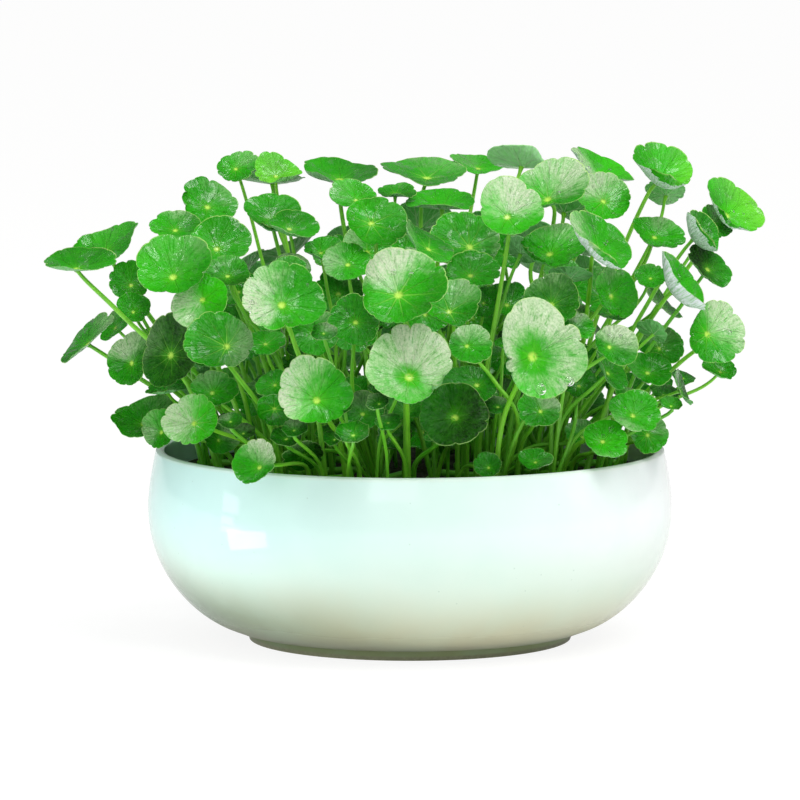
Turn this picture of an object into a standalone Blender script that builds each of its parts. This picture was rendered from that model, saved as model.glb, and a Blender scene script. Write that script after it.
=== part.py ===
"""Potted pennywort: a low celadon bowl of soil with a clump of round-leaved pennywort in it.

Metres and +Z up. The origin is on the bowl's axis, in the plane that its foot ring stands on.
-Y is the clump's front, the side that most leaves face, and +X is to the right of it. Sizes
below are in millimetres and degrees, and mm() turns them to metres.

A leaf is a shallow round cup on a stalk that meets it at its centre. The forty-six leaves that
show most are planted in the soil one by one. The others stand on runners, the creeping stems
that lie on the soil and spread out from the middle, and a runner and its leaves are one shoot.
"""

import itertools
import math
import random
from collections import namedtuple

import bmesh
import bpy
import numpy as np
from mathutils import Matrix, Vector
from mathutils.bvhtree import BVHTree

# ---------------------------------------------------------------- driving dimensions, mm

GAP = 0.3

BOWL_HEIGHT = 88.0
BELLY_RADIUS = 120.4
BELLY_HEIGHT = 60.0
BELLY_BOTTOM_RADIUS = 81.0
RIM_RADIUS = 117.0
WALL = 4.0
FLOOR_TOP = 9.0
FOOT_RADIUS = 74.0
FOOT_HEIGHT = 4.4
FOOT_WIDTH = 8.0
FOOT_RECESS = 2.6
BOWL_STEPS = 32

SOIL_TOP = 76.0
ROOT_DEPTH = 8.0
HOLE_SPACING = 5.0

BLADE_THICKNESS = 1.0
PLANTED_SIDES = 10
RUNNER_LEAF_SIDES = 8
CUP = 0.2
DEEP_CUP = 0.4
STALK_FOOT_RADIUS = 1.5
STALK_HUB_RADIUS = 0.95
RUNNER_RADIUS = 2.0
RUNNERS = 12
RUNNER_INNER = 22.0
RUNNER_OUTER = 101.0
RUNNER_STAGGER = 20.0
RUNNER_WANDER = 3.0
RUNNER_CORNERS = 6
RUNNER_PLACES = 15
PLACES_TRIED = 8
HUB_REGION = 7.0
RIM_REACH = 1.1

BLADE_CLEARANCE = 1.2
STALK_CLEARANCE = 0.6
WALL_CLEARANCE = 3.0
SLIDE_BACK = 1.5
CROWDING = 0.5

# Where a stalk bends, as shares of its length, and the ways it may bend, the best first: how
# squarely it meets its blade, how far it bulges to the side, how far it runs straight before the
# blade and after the foot. Leaves that only fill a gap try few ways.
PLANTED_TIMES = (0, 0.33, 0.64, 0.87, 1)
RUNNER_LEAF_TIMES = (0, 0.42, 0.78, 1)
SAMPLES_PER_STRETCH = 13
BULGES = (0, 0.1, -0.1, 0.2, -0.2, 0.33, -0.33)
ALL_BENDS = list(itertools.product((0.65, 0.4, 0.9), BULGES, (0.2, 0.12, 0.3), (0.45, 0.3)))
FEW_BENDS = list(itertools.product((0.65,), (0, 0.12, -0.12, 0.27, -0.27), (0.2,), (0.45,)))

# The dome that the back of the clump fills, and how many leaves are tried there.
DOME_WIDTH = 146.0
DOME_DEPTH = 131.0
DOME_HEIGHT = 118.0
DOME_BASE = 97.0
DOME_SHIFT = 14.0
DOME_FOOT = 0.84
BACK_TRIES = 420
INNER_TRIES = 120

# The leaves just behind the front ones: their range, and the roof over them.
MIDDLE_ACROSS = (-118, 118)
MIDDLE_BACK = (-82, 12)
MIDDLE_WIDTH = 132.0
MIDDLE_BASE = 100.0
MIDDLE_HEIGHT = 82.0
MIDDLE_LOWEST = 94.0
MIDDLE_RADIUS = (7.5, 13)
MIDDLE_TILT = (34, 66)
MIDDLE_TRIES = 1100

# Leaves that fill gaps stay over the bowl where they are low, and hide little of those in front.
LOW_LEAVES = 118.0
LOW_REACH = 104.0
MAY_HIDE = 0.85

SEED = 5

# ---------------------------------------------------------------- the leaves

LEAF_FIELDS = "x y z radius tilt heading cup sides"
Leaf = namedtuple("Leaf", LEAF_FIELDS, defaults=(CUP, RUNNER_LEAF_SIDES))
# x, y, z: the hub. radius: to the edge. tilt: how far the upper side leans from facing straight
# up. heading: where it leans to, 0 to the front and 90 to the right. cup: rim height over radius.
# sides: of the blade's outline, more on the planted leaves, which show most.

PLANTED_LEAVES = [
    # the large ones in front
    Leaf(56, -125, 146, 20.5, 80, 20),
    Leaf(-1, -124, 137, 19.5, 55, 10),
    Leaf(-3, -115, 171, 19, 55, -5),
    Leaf(-56, -115, 167, 17.5, 55, 5),
    Leaf(-42, -120, 126, 16, 68, 0),
    Leaf(19, -100, 113, 16, 48, 0),
    Leaf(27, -110, 146, 10, 50, 0),
    Leaf(57, -98, 116, 9.5, 53, 0),
    Leaf(19, -88, 162, 12.5, 48, 0),
    Leaf(63, -82, 162, 13, 55, 0),
    Leaf(26, -84, 124, 12.5, 40, 0),
    # left side, from the rim up
    Leaf(-68, -114, 94, 11, 58, -35),
    Leaf(-98, -78, 109, 12, 65, -8),
    Leaf(-120, -38, 104, 14.5, 34, -24),
    Leaf(-85, -96, 145, 15, 57, -5),
    Leaf(-93, -86, 162, 13, 60, -15),
    Leaf(-106, -66, 139, 16, 74, -36),
    Leaf(-125, -45, 133, 12, 78, -40),
    Leaf(-145, -30, 140, 15.5, 45, -75),
    Leaf(-148, -60, 176, 16, 13, -15),
    Leaf(-138, -12, 180, 16.5, 32, -50),
    Leaf(-106, -72, 177, 17, 47, -9),
    # the crown, left to right
    Leaf(-86, -42, 186, 13.5, 48, 0),
    Leaf(-93, 0, 199, 14, 45, 18),
    Leaf(-79, 22, 215, 9.5, 42, -16),
    Leaf(-53, -38, 192, 12, 27, 20),
    Leaf(-62, -18, 196, 13, 40, 11),
    Leaf(-61, 8, 213, 10.5, 37, 13),
    Leaf(-15, -50, 194, 14, 50, 7),
    Leaf(-33, 40, 208, 18, 14, 0),
    Leaf(6, -62, 186, 14, 36, 56),
    Leaf(24, -25, 184, 16, 48, 8),
    Leaf(6, 60, 208, 20.5, 12, 20),
    Leaf(45, -62, 202, 15, 50, 0),
    Leaf(65, -30, 208, 17, 38, -27),
    Leaf(87, 28, 212, 15.5, 27, 50),
    Leaf(113, 10, 213, 15, 44, 39, DEEP_CUP),
    # right side, from the top down
    Leaf(83, -72, 188, 17.5, 47, 53),
    Leaf(66, -52, 184, 15.5, 35, -20),
    Leaf(148, 31, 195, 15, 54, 42),
    Leaf(129, -15, 186, 12, 57, 61, DEEP_CUP),
    Leaf(118, -47, 165, 17, 56, 69, DEEP_CUP),
    Leaf(137, -38, 144, 14.5, 72, 26),
    Leaf(91, -90, 144, 10, 58, 18),
    Leaf(100, -70, 111, 12, 45, 21),
    Leaf(87, -80, 100, 10.5, 44, 5),
]

RUNNER_LEAVES = [
    # low in front, among the stalks
    Leaf(34, -101, 91, 6.5, 48, 0),
    Leaf(56, -96, 92, 7.5, 32, 0),
    Leaf(-21, -78, 113, 10, 48, 0),
    Leaf(-48, -84, 95, 9, 126, 8),
    Leaf(-60, -96, 117, 8.5, 117, 0),
    Leaf(18, -76, 100, 12.5, 9, 0),
    Leaf(-85, -60, 99, 8, 59, 0),
    Leaf(-111, -58, 103, 9.5, 68, -34),
    Leaf(-88, -66, 121, 10.5, 48, 0),
    Leaf(-110, -45, 119, 9, 21, -26),
    Leaf(108, -45, 99, 9, 66, 18),
    # the middle tier
    Leaf(-25, -92, 155, 11.5, 67, 0),
    Leaf(-42, -78, 148, 11, 59, 0),
    Leaf(-65, -70, 143, 9, 32, 0),
    Leaf(-28, -62, 178, 11.5, 39, 0),
    Leaf(28, -45, 172, 12.5, 32, 0),
    Leaf(-82, -62, 173, 10, 39, 0),
    Leaf(-127, -25, 166, 10, 53, 0),
    Leaf(-125, -40, 155, 8, 48, 0),
    Leaf(-134, -8, 144, 9, 53, -56),
    Leaf(71, -66, 172, 10, 29, 180),
    Leaf(49, -40, 181, 9, 45, 142),
    Leaf(91, -62, 165, 12, 80, 40),
    Leaf(91, -64, 155, 10, 19, 0),
    Leaf(109, -42, 145, 7.5, 45, 142),
    Leaf(88, -76, 131, 10.5, 52, 60),
    Leaf(108, -48, 128, 10.5, 40, 11),
    Leaf(140, -28, 126, 8, 37, 27),
    Leaf(122, -38, 119, 9, 69, 80),
    Leaf(135, -26, 172, 12, 52, 46),
    Leaf(109, -30, 169, 7.5, 39, 0),
    # the crown
    Leaf(-106, -40, 191, 11.5, 32, 0),
    Leaf(-65, 0, 206, 15.5, 17, 180),
    Leaf(-39, -36, 181, 9, 32, 0),
    Leaf(-26, 5, 202, 11, 33, 15),
    Leaf(-6, 22, 203, 8.5, 19, 0),
    Leaf(14, 20, 197, 15, 12, 0),
    Leaf(32, 64, 210, 13, 16, 37),
    Leaf(49, 12, 217, 13.5, 27, 159),
    Leaf(87, -8, 203, 13, 54, 22),
    Leaf(118, 25, 202, 9.5, 42, 180),
    Leaf(113, 2, 185, 12, 37, 27),
    Leaf(140, 12, 189, 9, 56, 48),
]

# ---------------------------------------------------------------- small helpers


def mm(*values):
    """Millimetres to metres."""
    return tuple(value * 0.001 for value in values)


def bezier(p0, p1, p2, p3, t):
    """Points of a cubic Bezier curve at the values t."""
    t = np.asarray(t, float)[:, None]
    p0, p1, p2, p3 = (np.asarray(p, float) for p in (p0, p1, p2, p3))
    return (1 - t) ** 3 * p0 + 3 * t * (1 - t) ** 2 * p1 + 3 * t**2 * (1 - t) * p2 + t**3 * p3


def material(name, color, roughness):
    mat = bpy.data.materials.new(name)
    mat.use_nodes = True
    shader = mat.node_tree.nodes["Principled BSDF"]
    shader.inputs["Base Color"].default_value = (*color, 1)
    shader.inputs["Roughness"].default_value = roughness
    shader.inputs["Metallic"].default_value = 0
    return mat


def add_object(name, data, collection):
    obj = bpy.data.objects.new(name, data)
    collection.objects.link(obj)
    return obj


def evaluated_mesh(obj):
    """A new mesh with the object's modifiers applied, and its caps welded to its sides."""
    graph = bpy.context.evaluated_depsgraph_get()
    mesh = bpy.data.meshes.new_from_object(obj.evaluated_get(graph))
    bm = bmesh.new()
    bm.from_mesh(mesh)
    bmesh.ops.remove_doubles(bm, verts=bm.verts, dist=1e-6)
    bm.to_mesh(mesh)
    bm.free()
    return mesh


def remove(obj):
    bpy.data.objects.remove(obj, do_unlink=True)


def boolean(obj, other, operation):
    modifier = obj.modifiers.new(operation.lower(), "BOOLEAN")
    modifier.operation = operation
    modifier.object = other


def smooth(obj, angle=40):
    obj.data.shade_smooth()
    obj.data.set_sharp_from_angle(angle=math.radians(angle))


# ---------------------------------------------------------------- bowl and soil


def outer_profile():
    """Down the bowl's outside, from the rim to the foot."""
    shoulder = (BELLY_RADIUS, BELLY_HEIGHT + 10)
    neck = (RIM_RADIUS + 1.6, BOWL_HEIGHT - 10)
    rim = (RIM_RADIUS, BOWL_HEIGHT - WALL / 2)
    belly = (BELLY_RADIUS, BELLY_HEIGHT)
    upper = bezier(rim, neck, shoulder, belly, np.linspace(0, 1, 4))
    bottom = (BELLY_BOTTOM_RADIUS, FOOT_HEIGHT + 0.8)
    flare = (BELLY_BOTTOM_RADIUS + 21, FOOT_HEIGHT + 7)
    lower = bezier(belly, (BELLY_RADIUS, 34), flare, bottom, np.linspace(0, 1, 8))
    return np.vstack([upper, lower[1:]])


def inner_profile():
    """Up the bowl's inside, from the edge of its floor to the rim."""
    outside = outer_profile()[::-1]
    centre = np.array([0, BELLY_HEIGHT])
    away = outside - centre
    inside = centre + away * (1 - WALL / np.linalg.norm(away, axis=1, keepdims=True))
    inside[0] = (BELLY_BOTTOM_RADIUS - 8, FLOOR_TOP)
    inside[-1] = (RIM_RADIUS - WALL, BOWL_HEIGHT - WALL / 2)
    inside[:, 1] = np.maximum(inside[:, 1], FLOOR_TOP)
    return np.delete(inside, [1, 3, 5], axis=0)


def rim_profile():
    """Half a circle over the rim, from the inside to the outside, without its ends."""
    turn = np.radians([45, 90, 135])
    radius = WALL / 2
    return np.column_stack([
        RIM_RADIUS - radius - radius * np.cos(turn),
        BOWL_HEIGHT - radius + radius * np.sin(turn),
    ])


def foot_profile():
    """Under the bowl: the foot ring, with a shallow recess inside it."""
    return np.array([
        (FOOT_RADIUS + 0.8, FOOT_HEIGHT),
        (FOOT_RADIUS, 0),
        (FOOT_RADIUS - FOOT_WIDTH, 0),
        (FOOT_RADIUS - FOOT_WIDTH - 1, FOOT_RECESS),
        (0, FOOT_RECESS),
    ])


def turned(name, profile, collection):
    """A solid of revolution about Z. The profile starts and ends on the axis."""
    points = [mm(radius, 0, height) for radius, height in profile]
    mesh = bpy.data.meshes.new(name)
    mesh.from_pydata(points, [(i, i + 1) for i in range(len(points) - 1)], [])
    obj = add_object(name, mesh, collection)
    screw = obj.modifiers.new("turn", "SCREW")
    screw.axis = "Z"
    screw.steps = BOWL_STEPS
    screw.render_steps = BOWL_STEPS
    screw.use_merge_vertices = True
    screw.merge_threshold = 0.00001
    return obj


def make_bowl(collection):
    inside_start = [(0, FLOOR_TOP)]
    inside = np.vstack([inside_start, inner_profile()])
    profile = np.vstack([inside, rim_profile(), outer_profile(), foot_profile()])
    bowl = turned("bowl", profile, collection)
    bowl.data.materials.append(material("celadon_glaze", (0.72, 0.93, 0.87), 0.12))
    smooth(bowl)
    return bowl


def make_soil(collection, holes):
    """Fills the bowl to SOIL_TOP, with a planting hole for each planted stalk."""
    inside = inner_profile()
    below = inside[inside[:, 1] < SOIL_TOP]
    top_radius = np.interp(SOIL_TOP, inside[2:, 1], inside[2:, 0])
    wall = np.vstack([(top_radius - GAP, SOIL_TOP), below[::-1] + (-GAP, GAP * 0.7)])
    wall[:, 1] = np.maximum(wall[:, 1], FLOOR_TOP + GAP)
    profile = np.vstack([[(0, SOIL_TOP)], wall, [(0, FLOOR_TOP + GAP)]])
    soil = turned("soil", profile, collection)
    boolean(soil, holes, "DIFFERENCE")
    soil.data.materials.append(material("potting_soil", (0.035, 0.024, 0.014), 0.95))
    return soil


def make_holes(feet, collection):
    """One six-sided hole for each planted stalk, a little wider and deeper than its foot."""
    bm = bmesh.new()
    radius = (STALK_FOOT_RADIUS + GAP) / math.cos(math.pi / 6)
    over = 5.0
    depth = ROOT_DEPTH + GAP
    for x, y in feet:
        middle = Vector(mm(x, y, SOIL_TOP + (over - depth) / 2))
        bmesh.ops.create_cone(
            bm,
            cap_ends=True,
            segments=6,
            radius1=radius * 0.001,
            radius2=radius * 0.001,
            depth=(over + depth) * 0.001,
            matrix=Matrix.Translation(middle),
        )
    mesh = bpy.data.meshes.new("planting_holes")
    bm.to_mesh(mesh)
    bm.free()
    holes = add_object("planting_holes", mesh, collection)
    holes.hide_render = True
    holes.display_type = "WIRE"
    return holes


# ---------------------------------------------------------------- blades


def leaf_axis(leaf):
    """The direction that the blade's upper side faces."""
    tilt, heading = math.radians(leaf.tilt), math.radians(leaf.heading)
    across = math.sin(tilt)
    return Vector((across * math.sin(heading), -across * math.cos(heading), math.cos(tilt)))


def leaf_matrix(leaf):
    """Turns a blade that faces up to its own direction, and puts its hub in place, in mm."""
    turn = leaf_axis(leaf).to_track_quat("Z", "X").to_matrix().to_4x4()
    return Matrix.Translation((leaf.x, leaf.y, leaf.z)) @ turn


def blade_points(leaf, grow=0.0):
    """The hub and the rim of the blade's middle surface, in mm."""
    turn = np.arange(leaf.sides) * 2 * math.pi / leaf.sides
    radius = leaf.radius + grow
    rim = np.column_stack([
        radius * np.cos(turn),
        radius * np.sin(turn),
        np.full(leaf.sides, leaf.cup * radius),
    ])
    flat = np.vstack([[(0, 0, 0)], rim])
    matrix = np.array(leaf_matrix(leaf))
    return flat @ matrix[:3, :3].T + matrix[:3, 3]


def blade_tree(leaf, grow=0.0, half=0.0):
    """A search tree of the blade's surface, or of a shell of twice that half thickness."""
    points = blade_points(leaf, grow)
    ring = [(i + 1, (i + 1) % leaf.sides + 1) for i in range(leaf.sides)]
    faces = [(0, a, b) for a, b in ring]
    if half:
        count = len(points)
        axis = np.array(leaf_axis(leaf))
        points = np.vstack([points + axis * half, points - axis * half])
        faces += [(count, count + b, count + a) for a, b in ring]
        for a, b in ring:
            faces += [(a, a + count, b + count), (a, b + count, b)]
    return BVHTree.FromPolygons(points.tolist(), faces)


# ---------------------------------------------------------------- stalks and runners

Stalk = namedtuple("Stalk", "leaf foot points")


def along(points, count):
    """More points on the straight stretches between the given ones."""
    order = np.linspace(0, len(points) - 1, (len(points) - 1) * count + 1)
    return np.column_stack([np.interp(order, np.arange(len(points)), axis) for axis in points.T])


def stalk_times(leaf):
    return PLANTED_TIMES if leaf.sides == PLANTED_SIDES else RUNNER_LEAF_TIMES


def stalk_points(leaf, foot, lift, back, bulge, square):
    """Points along a stalk that leaves the soil upright and meets its blade from below."""
    hub = np.array(leaf[:3], float)
    foot = np.array(foot, float)
    span = np.linalg.norm(hub - foot)
    aside = np.cross(hub - foot, (0, 0, 1))
    aside /= max(np.linalg.norm(aside), 1e-6)
    arrive = np.array(leaf_axis(leaf)) * square + np.array((0, 0, 1 - square))
    arrive /= np.linalg.norm(arrive)
    p1 = foot + np.array((0, 0, lift * span)) + aside * bulge * span
    return bezier(foot, p1, hub - arrive * back * span, hub, stalk_times(leaf))


def runner_line(index):
    """The corners of a runner's middle. It lies on the soil and wanders outwards."""
    around = 2 * math.pi * (index + 0.5) / RUNNERS
    inner = RUNNER_INNER + (RUNNER_STAGGER if index % 2 else 0)
    reach = np.linspace(inner, RUNNER_OUTER, RUNNER_CORNERS)
    aside = RUNNER_WANDER * np.sin(reach / 17 + 1.7 * index)
    return np.column_stack([
        reach * math.cos(around) - aside * math.sin(around),
        reach * math.sin(around) + aside * math.cos(around),
        np.full(RUNNER_CORNERS, SOIL_TOP + RUNNER_RADIUS + GAP),
    ])


def places_on(line):
    """Where leaves may stand on a runner: evenly along it, clear of its ends."""
    order = np.linspace(0.3, len(line) - 1.2, RUNNER_PLACES)
    return np.column_stack([np.interp(order, np.arange(len(line)), axis) for axis in line.T])


def crosses_bowl(points):
    low = points[:, 2] < BOWL_HEIGHT + WALL_CLEARANCE
    out = np.hypot(points[:, 0], points[:, 1])
    return (low & (out > RIM_RADIUS - WALL - WALL_CLEARANCE)).any()


def too_near(points, others, least):
    """True if any of the points is nearer than that to any of the others."""
    inside = (others > points.min(axis=0) - least) & (others < points.max(axis=0) + least)
    others = others[inside.all(axis=1)]
    apart = points[:, None, :] - others[None, :, :]
    return bool(len(others)) and np.einsum("ijk,ijk->ij", apart, apart).min() < least**2


class Clump:
    """The leaves so far. New ones are kept clear of their blades and of their stalks."""

    def __init__(self):
        self.leaves = []
        self.shells = []
        self.stalk_points = np.empty((0, 3))
        self.feet = []
        self.lines = [runner_line(index) for index in range(RUNNERS)]
        self.places = [places_on(line) for line in self.lines]
        self.runner_points = np.vstack([along(line, SAMPLES_PER_STRETCH) for line in self.lines])
        self.free = [(index, place) for index in range(RUNNERS) for place in range(RUNNER_PLACES)]

    def shell_of(self, leaf):
        """The blade with half its clearance all round."""
        return blade_tree(leaf, BLADE_CLEARANCE / 2, (BLADE_THICKNESS + BLADE_CLEARANCE) / 2)

    def has_room(self, leaf):
        """True if the blade is clear of the other blades, the stalks, the soil and the bowl."""
        shell = self.shell_of(leaf)
        for other, other_shell in zip(self.leaves, self.shells):
            reach = (leaf.radius + other.radius) * RIM_REACH + BLADE_CLEARANCE
            if math.dist(leaf[:3], other[:3]) < reach and shell.overlap(other_shell):
                return False
        near = np.linalg.norm(self.stalk_points - leaf[:3], axis=1)
        least = STALK_FOOT_RADIUS + STALK_CLEARANCE
        for point in self.stalk_points[near < leaf.radius * RIM_REACH + STALK_FOOT_RADIUS]:
            if shell.find_nearest(point.tolist(), least)[0] is not None:
                return False
        points = blade_points(leaf)
        out = np.hypot(points[:, 0], points[:, 1])
        by_wall = (out > RIM_RADIUS - WALL - WALL_CLEARANCE) & (out < BELLY_RADIUS + WALL_CLEARANCE / 2)
        low = points[:, 2] < BOWL_HEIGHT + BLADE_THICKNESS * 2
        return not (by_wall & low).any() and points[:, 2].min() > SOIL_TOP + BLADE_THICKNESS * 2

    def place(self, leaf):
        """Slides the leaf back until there is room for its blade, and keeps it there."""
        while not self.has_room(leaf):
            leaf = leaf._replace(y=leaf.y + SLIDE_BACK)
        self.leaves.append(leaf)
        self.shells.append(self.shell_of(leaf))
        return leaf

    def blades(self):
        """One search tree of all the blades' middle surfaces, and the leaf that owns each face."""
        points, faces, owners = [], [], []
        for leaf in self.leaves:
            base = len(points)
            points += blade_points(leaf).tolist()
            for side in range(leaf.sides):
                faces.append((base, base + side + 1, base + (side + 1) % leaf.sides + 1))
            owners += [leaf] * leaf.sides
        return BVHTree.FromPolygons(points, faces), owners

    def crosses_blade(self, points, leaf, blades, owners):
        """True if a stalk comes too near a blade. Its own blade counts away from the hub."""
        from_hub = np.linalg.norm(points - points[-1], axis=1)
        reach = STALK_FOOT_RADIUS + STALK_CLEARANCE + BLADE_THICKNESS / 2
        for point, distance in zip(points, from_hub):
            for _where, _normal, face, _gap in blades.find_nearest_range(point.tolist(), reach):
                if owners[face] is not leaf or distance > HUB_REGION:
                    return True
        return False

    def find_stalk(self, leaf, feet, others, bends=ALL_BENDS):
        """The first stalk clear of everything, out of a few feet and a few bends."""
        blades, owners = self.blades()
        for foot, (square, bulge, back, lift) in itertools.product(feet, bends):
            corners = stalk_points(leaf, foot, lift, back, bulge, square)
            points = along(corners, SAMPLES_PER_STRETCH)
            if crosses_bowl(points) or self.crosses_blade(points, leaf, blades, owners):
                continue
            if not too_near(points, others, 2 * STALK_FOOT_RADIUS + STALK_CLEARANCE):
                self.stalk_points = np.vstack([self.stalk_points, points])
                return Stalk(leaf, foot, corners)
        return None

    def plant(self, leaf):
        """A stalk that goes down into the soil, clear of the runners and of the other holes."""
        feet = []
        for spot in planting_spots(leaf):
            apart = np.linalg.norm(self.runner_points[:, :2] - spot[:2], axis=1).min()
            clear_of_runners = apart > RUNNER_RADIUS + STALK_FOOT_RADIUS + 1.5
            if clear_of_runners and all(math.dist(spot, foot) > HOLE_SPACING for foot in self.feet):
                feet.append(spot)
        others = np.vstack([self.stalk_points, self.runner_points])
        stalk = self.find_stalk(leaf, feet, others)
        if stalk:
            self.feet.append(stalk.foot)
        return stalk

    def stand_on_runner(self, leaf, bends=ALL_BENDS):
        """A stalk from one of the nearest free places on a runner, and that place."""
        best = np.array(best_spot(leaf))
        self.free.sort(key=lambda where: np.linalg.norm(self.places[where[0]][where[1], :2] - best))
        for where in self.free[:PLACES_TRIED]:
            foot = self.places[where[0]][where[1]]
            stalk = self.find_stalk(leaf, [tuple(foot)], self.stalk_points, bends)
            if stalk:
                self.free.remove(where)
                return where[0], stalk
        return None, None


def best_spot(leaf):
    """Where a leaf's stalk would rise from: under the blade, but nearer the middle of the bowl."""
    out = max(math.hypot(leaf.x, leaf.y), 1.0)
    reach = min(max(0.66 * out, 28), 98)
    return reach * leaf.x / out, reach * leaf.y / out


def planting_spots(leaf):
    """Places in the soil for a leaf's foot, the best first."""
    best_x, best_y = best_spot(leaf)
    best = math.hypot(best_x, best_y)
    side = math.atan2(best_y, best_x)
    spots = []
    for inward, turn in itertools.product((0, -7, 7, -14, -21, 14), (0, 9, -9, 18, -18)):
        reach = best + inward
        if 8 < reach < 103:
            angle = side + math.radians(turn)
            spots.append((reach * math.cos(angle), reach * math.sin(angle), SOIL_TOP + 0.5))
    return spots


def dome_leaf(draw, around, depth):
    """A leaf on the dome that the clump fills, or inside it where depth is under 1."""
    height = draw.uniform(0.03, 1)
    flat = math.sqrt(1 - height**2) * depth
    width = DOME_WIDTH * (DOME_FOOT + (1 - DOME_FOOT) * min(2 * height, 1))
    x = width * flat * math.cos(math.radians(around))
    y = DOME_DEPTH * flat * math.sin(math.radians(around)) + DOME_SHIFT * height
    outward = math.degrees(math.atan2(x, -y))
    return Leaf(
        round(x),
        round(y),
        round(DOME_BASE + DOME_HEIGHT * height * depth),
        round(draw.uniform(11, 19) * depth**0.5, 1),
        round(draw.uniform(58, 80) - 42 * height),
        round(outward + draw.uniform(-30, 30)),
    )


def middle_leaf(draw):
    """A leaf just behind the front ones, under the dome, that faces the same way as they do."""
    x = draw.uniform(*MIDDLE_ACROSS)
    y = draw.uniform(*MIDDLE_BACK)
    roof = MIDDLE_BASE + MIDDLE_HEIGHT * math.sqrt(1 - (x / MIDDLE_WIDTH) ** 2)
    return Leaf(
        round(x),
        round(y),
        round(draw.uniform(MIDDLE_LOWEST, roof)),
        round(draw.uniform(*MIDDLE_RADIUS), 1),
        round(draw.uniform(*MIDDLE_TILT)),
        round(x / 5 + draw.uniform(-20, 20)),
    )


def back_leaf(draw):
    return dome_leaf(draw, draw.uniform(-12, 192), draw.uniform(0.72, 1))


def inner_leaf(draw):
    """A smaller leaf inside the clump, anywhere around it."""
    return dome_leaf(draw, draw.uniform(0, 360), draw.uniform(0.3, 0.72))


def out_of_place(leaf, placed_by_hand):
    """True if a leaf hangs low outside the bowl, or hides one in front that was placed by hand."""
    if leaf.z < LOW_LEAVES and abs(leaf.x) > LOW_REACH:
        return True
    return any(
        leaf.y < other.y
        and math.dist((leaf.x, leaf.z), (other.x, other.z)) < MAY_HIDE * (leaf.radius + other.radius)
        for other in placed_by_hand
    )


def fill(clump, shoots, leaves):
    """Adds each leaf that there is room for and that a stalk can reach."""
    placed_by_hand = clump.leaves[:len(PLANTED_LEAVES) + len(RUNNER_LEAVES)]
    for leaf in leaves:
        crowded = any(
            math.dist(leaf[:3], other[:3]) < CROWDING * (leaf.radius + other.radius)
            for other in clump.leaves
        )
        if crowded or out_of_place(leaf, placed_by_hand) or not clump.has_room(leaf):
            continue
        clump.place(leaf)
        index, stalk = clump.stand_on_runner(leaf, FEW_BENDS)
        if stalk:
            shoots[index][1].append(stalk)
        else:
            clump.leaves.pop()
            clump.shells.pop()


def grow():
    """The planted stalks, and each runner's line with the stalks that stand on it."""
    clump = Clump()
    planted = [clump.place(leaf._replace(sides=PLANTED_SIDES)) for leaf in PLANTED_LEAVES]
    on_runners = [clump.place(leaf) for leaf in RUNNER_LEAVES]
    stalks = [clump.plant(leaf) for leaf in planted]
    shoots = [(line, []) for line in clump.lines]
    for leaf in on_runners:
        index, stalk = clump.stand_on_runner(leaf)
        if stalk:
            shoots[index][1].append(stalk)
    draw = random.Random(SEED)
    fill(clump, shoots, (middle_leaf(draw) for _ in range(MIDDLE_TRIES)))
    fill(clump, shoots, (back_leaf(draw) for _ in range(BACK_TRIES)))
    fill(clump, shoots, (inner_leaf(draw) for _ in range(INNER_TRIES)))
    return [stalk for stalk in stalks if stalk], shoots, clump


# ---------------------------------------------------------------- solids


def rod(name, points, radii, collection):
    """A round rod along straight stretches between the points, as a mesh that a Boolean can read."""
    curve = bpy.data.curves.new(name, "CURVE")
    curve.dimensions = "3D"
    curve.bevel_depth = 0.001
    curve.bevel_resolution = 0
    curve.use_fill_caps = True
    spline = curve.splines.new("POLY")
    spline.points.add(len(points) - 1)
    for point, where, radius in zip(spline.points, points, radii):
        point.co = (*mm(*where), 1)
        point.radius = radius
    guide = add_object(name + "_guide", curve, collection)
    mesh = evaluated_mesh(guide)
    obj = add_object(name, mesh, collection)
    obj.matrix_world = guide.matrix_world
    remove(guide)
    bpy.data.curves.remove(curve)
    return obj


def blade(name, leaf, collection):
    """A fan of flat faces bent up into a cup, and given its thickness by Solidify."""
    bm = bmesh.new()
    bmesh.ops.create_circle(
        bm, cap_ends=True, cap_tris=True, segments=leaf.sides, radius=leaf.radius * 0.001
    )
    rise = leaf.cup * 0.001 * leaf.radius
    for vertex in bm.verts:
        if vertex.co.length > 0.5 * leaf.radius * 0.001:
            vertex.co.z = rise
    bmesh.ops.recalc_face_normals(bm, faces=bm.faces)
    matrix = leaf_matrix(leaf)
    matrix.translation = Vector(mm(*matrix.translation))
    bmesh.ops.transform(bm, matrix=matrix, verts=bm.verts)
    mesh = bpy.data.meshes.new(name)
    bm.to_mesh(mesh)
    bm.free()
    obj = add_object(name, mesh, collection)
    solidify = obj.modifiers.new("thickness", "SOLIDIFY")
    solidify.thickness = BLADE_THICKNESS * 0.001
    solidify.offset = 0
    return obj


def stalk_rod(name, stalk, collection, buried):
    """A tapering stalk that ends inside its blade. A planted one goes on down into the soil."""
    points = stalk.points.copy()
    points[-1] -= np.array(leaf_axis(stalk.leaf)) * 0.2
    radii = np.interp(stalk_times(stalk.leaf), (0, 1), (STALK_FOOT_RADIUS, STALK_HUB_RADIUS))
    if buried:
        x, y, _z = points[0]
        points = np.vstack([(x, y, SOIL_TOP - ROOT_DEPTH), points])
        radii = np.concatenate([radii[:1], radii])
    return rod(name, points, radii, collection)


def as_operand(obj):
    obj.hide_render = True
    obj.display_type = "WIRE"
    return obj


def make_leaf(name, stalk, parts, tools):
    """One planted leaf: its blade with its stalk joined on."""
    leaf = blade(name, stalk.leaf, parts)
    boolean(leaf, as_operand(stalk_rod(name + "_stalk", stalk, tools, True)), "UNION")
    return leaf


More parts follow.
